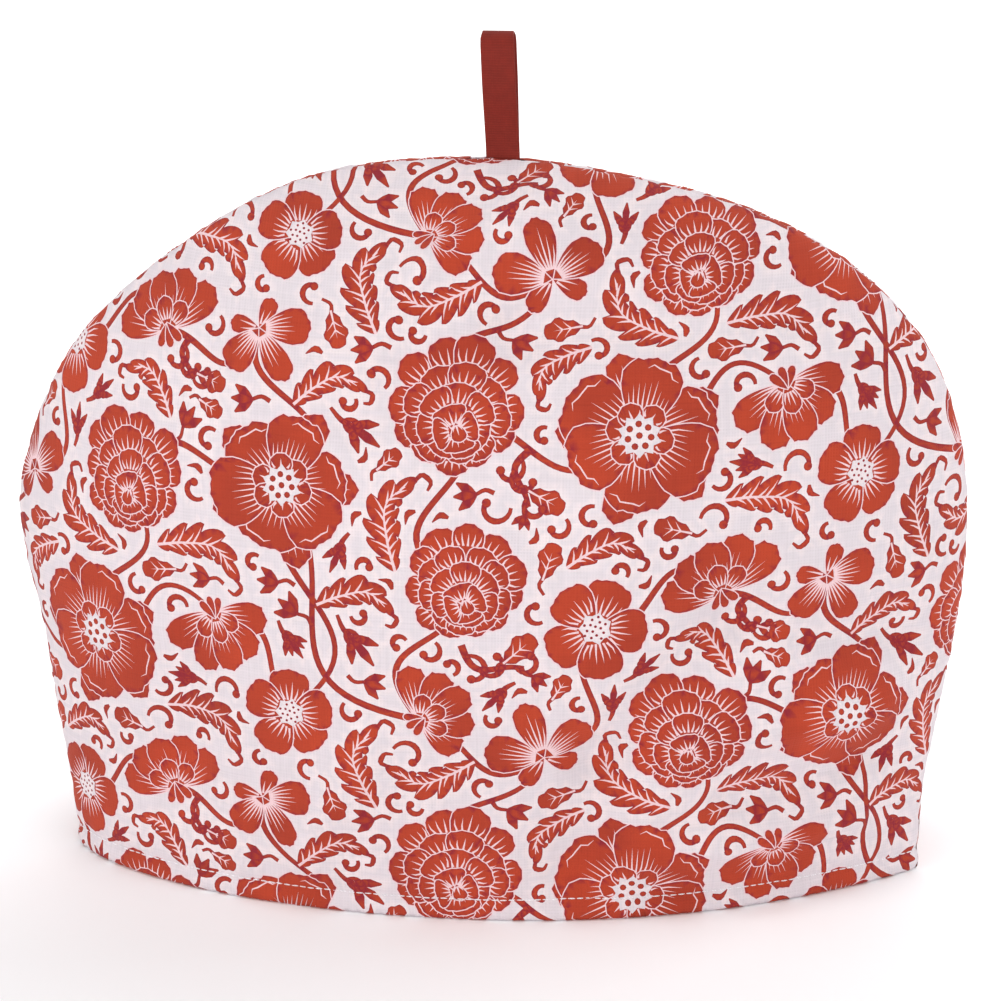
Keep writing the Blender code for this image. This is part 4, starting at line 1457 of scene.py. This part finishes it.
def stitch_tree(material):
    """A node tree that lays a stitch at every pitch along a line of points."""
    tree = bpy.data.node_groups.new("hem_stitches", "GeometryNodeTree")
    face = tree.interface
    face.new_socket("Geometry", in_out="INPUT", socket_type="NodeSocketGeometry")
    for name in ("Pitch", "Stitch length", "Thread width"):
        face.new_socket(name, in_out="INPUT", socket_type="NodeSocketFloat").subtype = "DISTANCE"
    face.new_socket("Seed", in_out="INPUT", socket_type="NodeSocketInt")
    face.new_socket("Geometry", in_out="OUTPUT", socket_type="NodeSocketGeometry")
    given = node(tree, "NodeGroupInput").outputs
    line = node(tree, "GeometryNodeMeshToCurve", {"Mesh": given["Geometry"]}).outputs["Curve"]
    steps = node(tree, "GeometryNodeCurveToPoints", {"Curve": line, "Length": given["Pitch"]}, mode="LENGTH")
    ball = node(tree, "GeometryNodeMeshUVSphere", {"Segments": 8, "Rings": 6, "Radius": 0.5}).outputs["Mesh"]
    uneven_size = node(tree, "FunctionNodeRandomValue", {2: 0.9, 3: 1.06, "Seed": given["Seed"]})
    width = given["Thread width"]
    length = node(tree, "ShaderNodeMath", {0: given["Stitch length"], 1: uneven_size.outputs[1]},
                  operation="MULTIPLY").outputs[0]
    size = node(tree, "ShaderNodeCombineXYZ", {"X": width, "Y": width, "Z": length}).outputs["Vector"]
    laid = node(tree, "GeometryNodeInstanceOnPoints", {
        "Points": steps.outputs["Points"], "Instance": ball, "Rotation": steps.outputs["Rotation"], "Scale": size,
    }).outputs["Instances"]
    real = node(tree, "GeometryNodeRealizeInstances", {"Geometry": laid}).outputs["Geometry"]
    soft = node(tree, "GeometryNodeSetShadeSmooth", {"Geometry": real}).outputs["Geometry"]
    done = node(tree, "GeometryNodeSetMaterial", {"Geometry": soft, "Material": material}).outputs["Geometry"]
    node(tree, "NodeGroupOutput", {"Geometry": done})
    return tree


def stitch_line(panel, sink):
    """Points along the hem's stitch line, just in the cloth's face."""
    low = np.interp(STITCH_UP, panel.form.up, panel.form.left)
    high = np.interp(STITCH_UP, panel.form.up, panel.form.right)
    across = np.arange(-low + 1.5 * MM, high - 1.5 * MM, 1.0 * MM)
    flat = np.stack([across, np.full_like(across, STITCH_UP)], axis=1)
    return panel.place(flat, 0.0) - panel.facing(flat, 0.0) * sink


def sewn_hem(panel, name, props, tree):
    """One panel's row of stitches, made by the node tree and kept as a plain mesh."""
    line = stitch_line(panel, -props.thread_width * 0.1)
    mesh = bpy.data.meshes.new(name + "_line")
    mesh.from_pydata(line.tolist(), [(i, i + 1) for i in range(len(line) - 1)], [])
    guide = bpy.data.objects.new(name + "_line", mesh)
    bpy.context.scene.collection.objects.link(guide)
    stitches = guide.modifiers.new("Stitches", "NODES")
    stitches.node_group = tree
    values = {
        "Pitch": props.stitch_pitch, "Stitch length": props.stitch_length,
        "Thread width": props.thread_width, "Seed": props.stitch_seed,
    }
    for item in tree.interface.items_tree:
        if item.name in values:
            stitches[item.identifier] = values[item.name]
    bpy.context.view_layer.update()
    seen = guide.evaluated_get(bpy.context.evaluated_depsgraph_get())
    made = bpy.data.meshes.new_from_object(seen)
    made.name = name
    bpy.data.objects.remove(guide)
    piece = bpy.data.objects.new(name, made)
    bpy.context.scene.collection.objects.link(piece)
    return piece


# The add-on


class CosyClothSettings(bpy.types.PropertyGroup):
    """Colours and thread sizes of the two panels."""

    ground: FloatVectorProperty(
        name="Ground", description="Colour of the bleached cloth", subtype="COLOR", default=linear("D6CCD1"))
    beside_ink: FloatVectorProperty(
        name="Beside the ink", description="Colour of the cloth close to the print",
        subtype="COLOR", default=linear("E3D5D7"))
    open_line: FloatVectorProperty(
        name="Open lines", description="Colour of the fine lines inside the print",
        subtype="COLOR", default=linear("E4C4C8"))
    ink_full: FloatVectorProperty(
        name="Full ink", description="Colour of the print where it lies full",
        subtype="COLOR", default=linear("B54128"))
    ink_deep: FloatVectorProperty(
        name="Deep ink", description="Colour of the print where it lies thicker",
        subtype="COLOR", default=linear("A03826"))
    ink_rim: FloatVectorProperty(
        name="Ink rim", description="Colour of the print's thin lines and edges",
        subtype="COLOR", default=linear("8A2630"))
    inside: FloatVectorProperty(
        name="Inside", description="Colour of the plain cotton inside", subtype="COLOR", default=linear("E6E0D6"))
    thread_pitch: FloatProperty(
        name="Thread pitch", description="Distance between the cloth's threads",
        subtype="DISTANCE", unit="LENGTH", default=0.55 * MM, precision=5)
    slub_pitch: FloatProperty(
        name="Slub pitch", description="Distance between the cloth's thicker yarns",
        subtype="DISTANCE", unit="LENGTH", default=0.9 * MM, precision=5)


class CosyTrimSettings(bpy.types.PropertyGroup):
    """Colours and sizes of the ribbon and the hem's stitches."""

    ribbon: FloatVectorProperty(
        name="Ribbon", description="Colour of the ribbon", subtype="COLOR", default=linear("7A2116"))
    rib_pitch: FloatProperty(
        name="Rib pitch", description="Distance between the ribbon's ribs",
        subtype="DISTANCE", unit="LENGTH", default=0.9 * MM, precision=5)
    thread: FloatVectorProperty(
        name="Thread", description="Colour of the sewing thread", subtype="COLOR", default=linear("EDE8EC"))
    stitch_pitch: FloatProperty(
        name="Stitch pitch", description="Distance from one stitch to the next",
        subtype="DISTANCE", unit="LENGTH", default=3.1 * MM, precision=5)
    stitch_length: FloatProperty(
        name="Stitch length", description="Length of thread that shows in one stitch",
        subtype="DISTANCE", unit="LENGTH", default=2.7 * MM, precision=5)
    thread_width: FloatProperty(
        name="Thread width", description="Thickness of the sewing thread",
        subtype="DISTANCE", unit="LENGTH", default=0.55 * MM, precision=5)
    stitch_seed: IntProperty(
        name="Stitch seed", description="Changes which stitches are a little longer", default=4)


class CosyStageSettings(bpy.types.PropertyGroup):
    """The studio's colour and lights."""

    floor: FloatVectorProperty(
        name="Floor", description="Colour of the floor and backdrop", subtype="COLOR", default=linear("FAFAFB"))
    top_power: FloatProperty(
        name="Top light", description="Power of the large light above", unit="POWER", default=9.9)
    front_power: FloatProperty(
        name="Front light", description="Power of the large low light in front", unit="POWER", default=18.8)
    left_power: FloatProperty(
        name="Left light", description="Power of the large light on the left", unit="POWER", default=8.5)
    rim_power: FloatProperty(
        name="Rim light", description="Power of the large light behind on the right",
        unit="POWER", default=9.4)
    backdrop_power: FloatProperty(
        name="Backdrop light", description="Power of the large light on the backdrop",
        unit="POWER", default=33.0)
    sky_strength: FloatProperty(
        name="Sky strength", description="Strength of the even light from all round", default=0.42)


def settle(mesh, name, node_name=None):
    """Put a finished mesh in the scene, on the cosy's body and in the place of its solid."""
    piece = bpy.data.objects.new(name, mesh)
    bpy.context.scene.collection.objects.link(piece)
    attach(piece, BODY)
    if node_name:
        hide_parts(node_name)
    return piece


class COSY_OT_panels(bpy.types.Operator):
    """Cut, print and shape the front and back panels"""

    bl_idname = "cosy.panels"
    bl_label = "Make the panels"

    def execute(self, context):
        props = context.scene.cosy_cloth
        form = Form()
        motifs = draw_repeat()
        printed, plain = printed_cotton(props), plain_cotton(props)
        for name, node_name, folds, creases, offset, phase, back in (
            ("front_panel_cloth", "panel_front", FRONT_FOLDS, FRONT_CREASES, FRONT_OFFSET, 0.7, False),
            ("back_panel_cloth", "panel_back", BACK_FOLDS, BACK_CREASES, BACK_OFFSET, 2.9, True),
        ):
            panel = Panel(form, folds, creases, phase, back)
            mesh = panel_mesh(panel, motifs, offset, name)
            mesh.materials.append(printed)
            mesh.materials.append(plain)
            piece = settle(mesh, name, node_name)
            print(name, len(mesh.vertices), "points", len(mesh.polygons), "faces")
        return {"FINISHED"}


class COSY_OT_hem(bpy.types.Operator):
    """Sew the hem of each panel"""

    bl_idname = "cosy.hem"
    bl_label = "Sew the hems"

    def execute(self, context):
        props = context.scene.cosy_trim
        tree = stitch_tree(spun_thread(props))
        form = Form()
        for name, folds, creases, phase, back in (
            ("hem_stitches_front", FRONT_FOLDS, FRONT_CREASES, 0.7, False),
            ("hem_stitches_back", BACK_FOLDS, BACK_CREASES, 2.9, True),
        ):
            piece = sewn_hem(Panel(form, folds, creases, phase, back), name, props, tree)
            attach(piece, BODY)
        return {"FINISHED"}


class COSY_OT_ribbon(bpy.types.Operator):
    """Fold the ribbon loop"""

    bl_idname = "cosy.ribbon"
    bl_label = "Fold the ribbon"

    def execute(self, context):
        props = context.scene.cosy_trim
        mesh = ribbon_mesh(props, "ribbon_loop")
        mesh.materials.append(ribbed_ribbon(props))
        piece = settle(mesh, "ribbon_loop", "tab_loop")
        return {"FINISHED"}


class COSY_OT_stage(bpy.types.Operator):
    """Set up the floor, the lights and the camera"""

    bl_idname = "cosy.stage"
    bl_label = "Set up the studio"

    def execute(self, context):
        props = context.scene.cosy_stage
        make_backdrop(props)
        make_light("top_light", (0.0, -0.4, 1.8), CAMERA_TARGET, 0.6, props.top_power)
        make_light("front_light", (0.2, -1.7, 0.15), CAMERA_TARGET, 0.8, props.front_power)
        make_light("left_light", (-1.6, -0.3, 0.4), CAMERA_TARGET, 1.0, props.left_power)
        make_light("rim_light", (1.3, 0.6, 0.7), CAMERA_TARGET, 0.8, props.rim_power)
        # Behind the cosy and aimed away from it, so little more than its top edge is lit by it
        make_light("backdrop_light", (0.0, 1.2, 1.6), (0.0, 2.9, -0.3), 2.0, props.backdrop_power)
        make_sky(props)
        make_camera()
        # The photo's white is plain white, which the film-like view would turn grey
        context.scene.view_settings.view_transform = "Standard"
        return {"FINISHED"}


def make_backdrop(props):
    """A floor that sweeps up behind the cosy."""
    half, front, back, radius, top = 4.0, -3.0, 1.6, 1.0, 3.5
    turns = np.linspace(0, math.pi / 2, 24)
    sweep = [(back + radius * math.sin(a), radius - radius * math.cos(a)) for a in turns]
    profile = [(front, 0.0)] + sweep + [(back + radius, top)]
    points = [(x, y, z) for y, z in profile for x in (-half, half)]
    faces = [(2 * i, 2 * i + 1, 2 * i + 3, 2 * i + 2) for i in range(len(profile) - 1)]
    mesh = bpy.data.meshes.new("floor")
    mesh.from_pydata(points, [], faces)
    mesh.shade_smooth()
    mesh.materials.append(painted_board(props))
    floor = bpy.data.objects.new("floor", mesh)
    bpy.context.scene.collection.objects.link(floor)


def make_light(name, place, target, size, power):
    """A large square light aimed at a target, which stays out of the picture from every side."""
    light = bpy.data.lights.new(name, "AREA")
    light.size = size
    light.energy = power
    lamp = bpy.data.objects.new(name, light)
    lamp.visible_camera = False
    lamp.location = place
    lamp.rotation_euler = (Vector(target) - Vector(place)).to_track_quat("-Z", "Y").to_euler()
    bpy.context.scene.collection.objects.link(lamp)


def make_sky(props):
    """Even white light from all round."""
    world = bpy.data.worlds.new("studio")
    world.use_nodes = True
    shade = world.node_tree.nodes["Background"]
    shade.inputs["Color"].default_value = (1.0, 1.0, 1.0, 1.0)
    shade.inputs["Strength"].default_value = props.sky_strength
    bpy.context.scene.world = world


def make_camera():
    """The photo's view."""
    a, e = math.radians(CAMERA_AZIMUTH), math.radians(CAMERA_ELEVATION)
    back = Vector((math.sin(a) * math.cos(e), -math.cos(a) * math.cos(e), math.sin(e)))
    lens = bpy.data.cameras.new("camera")
    lens.lens = CAMERA_LENS
    camera = bpy.data.objects.new("camera", lens)
    camera.location = Vector(CAMERA_TARGET) + back * CAMERA_DISTANCE
    camera.rotation_euler = (-back).to_track_quat("-Z", "Y").to_euler()
    bpy.context.scene.collection.objects.link(camera)
    bpy.context.scene.camera = camera


class COSY_PT_sidebar(bpy.types.Panel):
    """The cosy's steps and settings"""

    bl_idname = "COSY_PT_sidebar"
    bl_label = "Tea cosy"
    bl_space_type = "VIEW_3D"
    bl_region_type = "UI"
    bl_category = "Tea cosy"

    def draw(self, context):
        for group in (context.scene.cosy_cloth, context.scene.cosy_trim, context.scene.cosy_stage):
            column = self.layout.column()
            for name in group.bl_rna.properties.keys():
                if name not in ("rna_type", "name"):
                    column.prop(group, name)
        for step in STEPS:
            self.layout.operator(step.bl_idname)


STEPS = (COSY_OT_panels, COSY_OT_hem, COSY_OT_ribbon, COSY_OT_stage)
SETTINGS = {
    "cosy_cloth": CosyClothSettings,
    "cosy_trim": CosyTrimSettings,
    "cosy_stage": CosyStageSettings,
}


def register():
    for kind in (*SETTINGS.values(), *STEPS, COSY_PT_sidebar):
        bpy.utils.register_class(kind)
    for name, kind in SETTINGS.items():
        setattr(bpy.types.Scene, name, PointerProperty(type=kind))


def unregister():
    for name in SETTINGS:
        delattr(bpy.types.Scene, name)
    for kind in (COSY_PT_sidebar, *reversed(STEPS), *reversed(SETTINGS.values())):
        bpy.utils.unregister_class(kind)


def main():
    register()
    bpy.ops.cosy.stage()
    bpy.ops.cosy.panels()
    bpy.ops.cosy.hem()
    bpy.ops.cosy.ribbon()


if __name__ == "__main__":
    main()
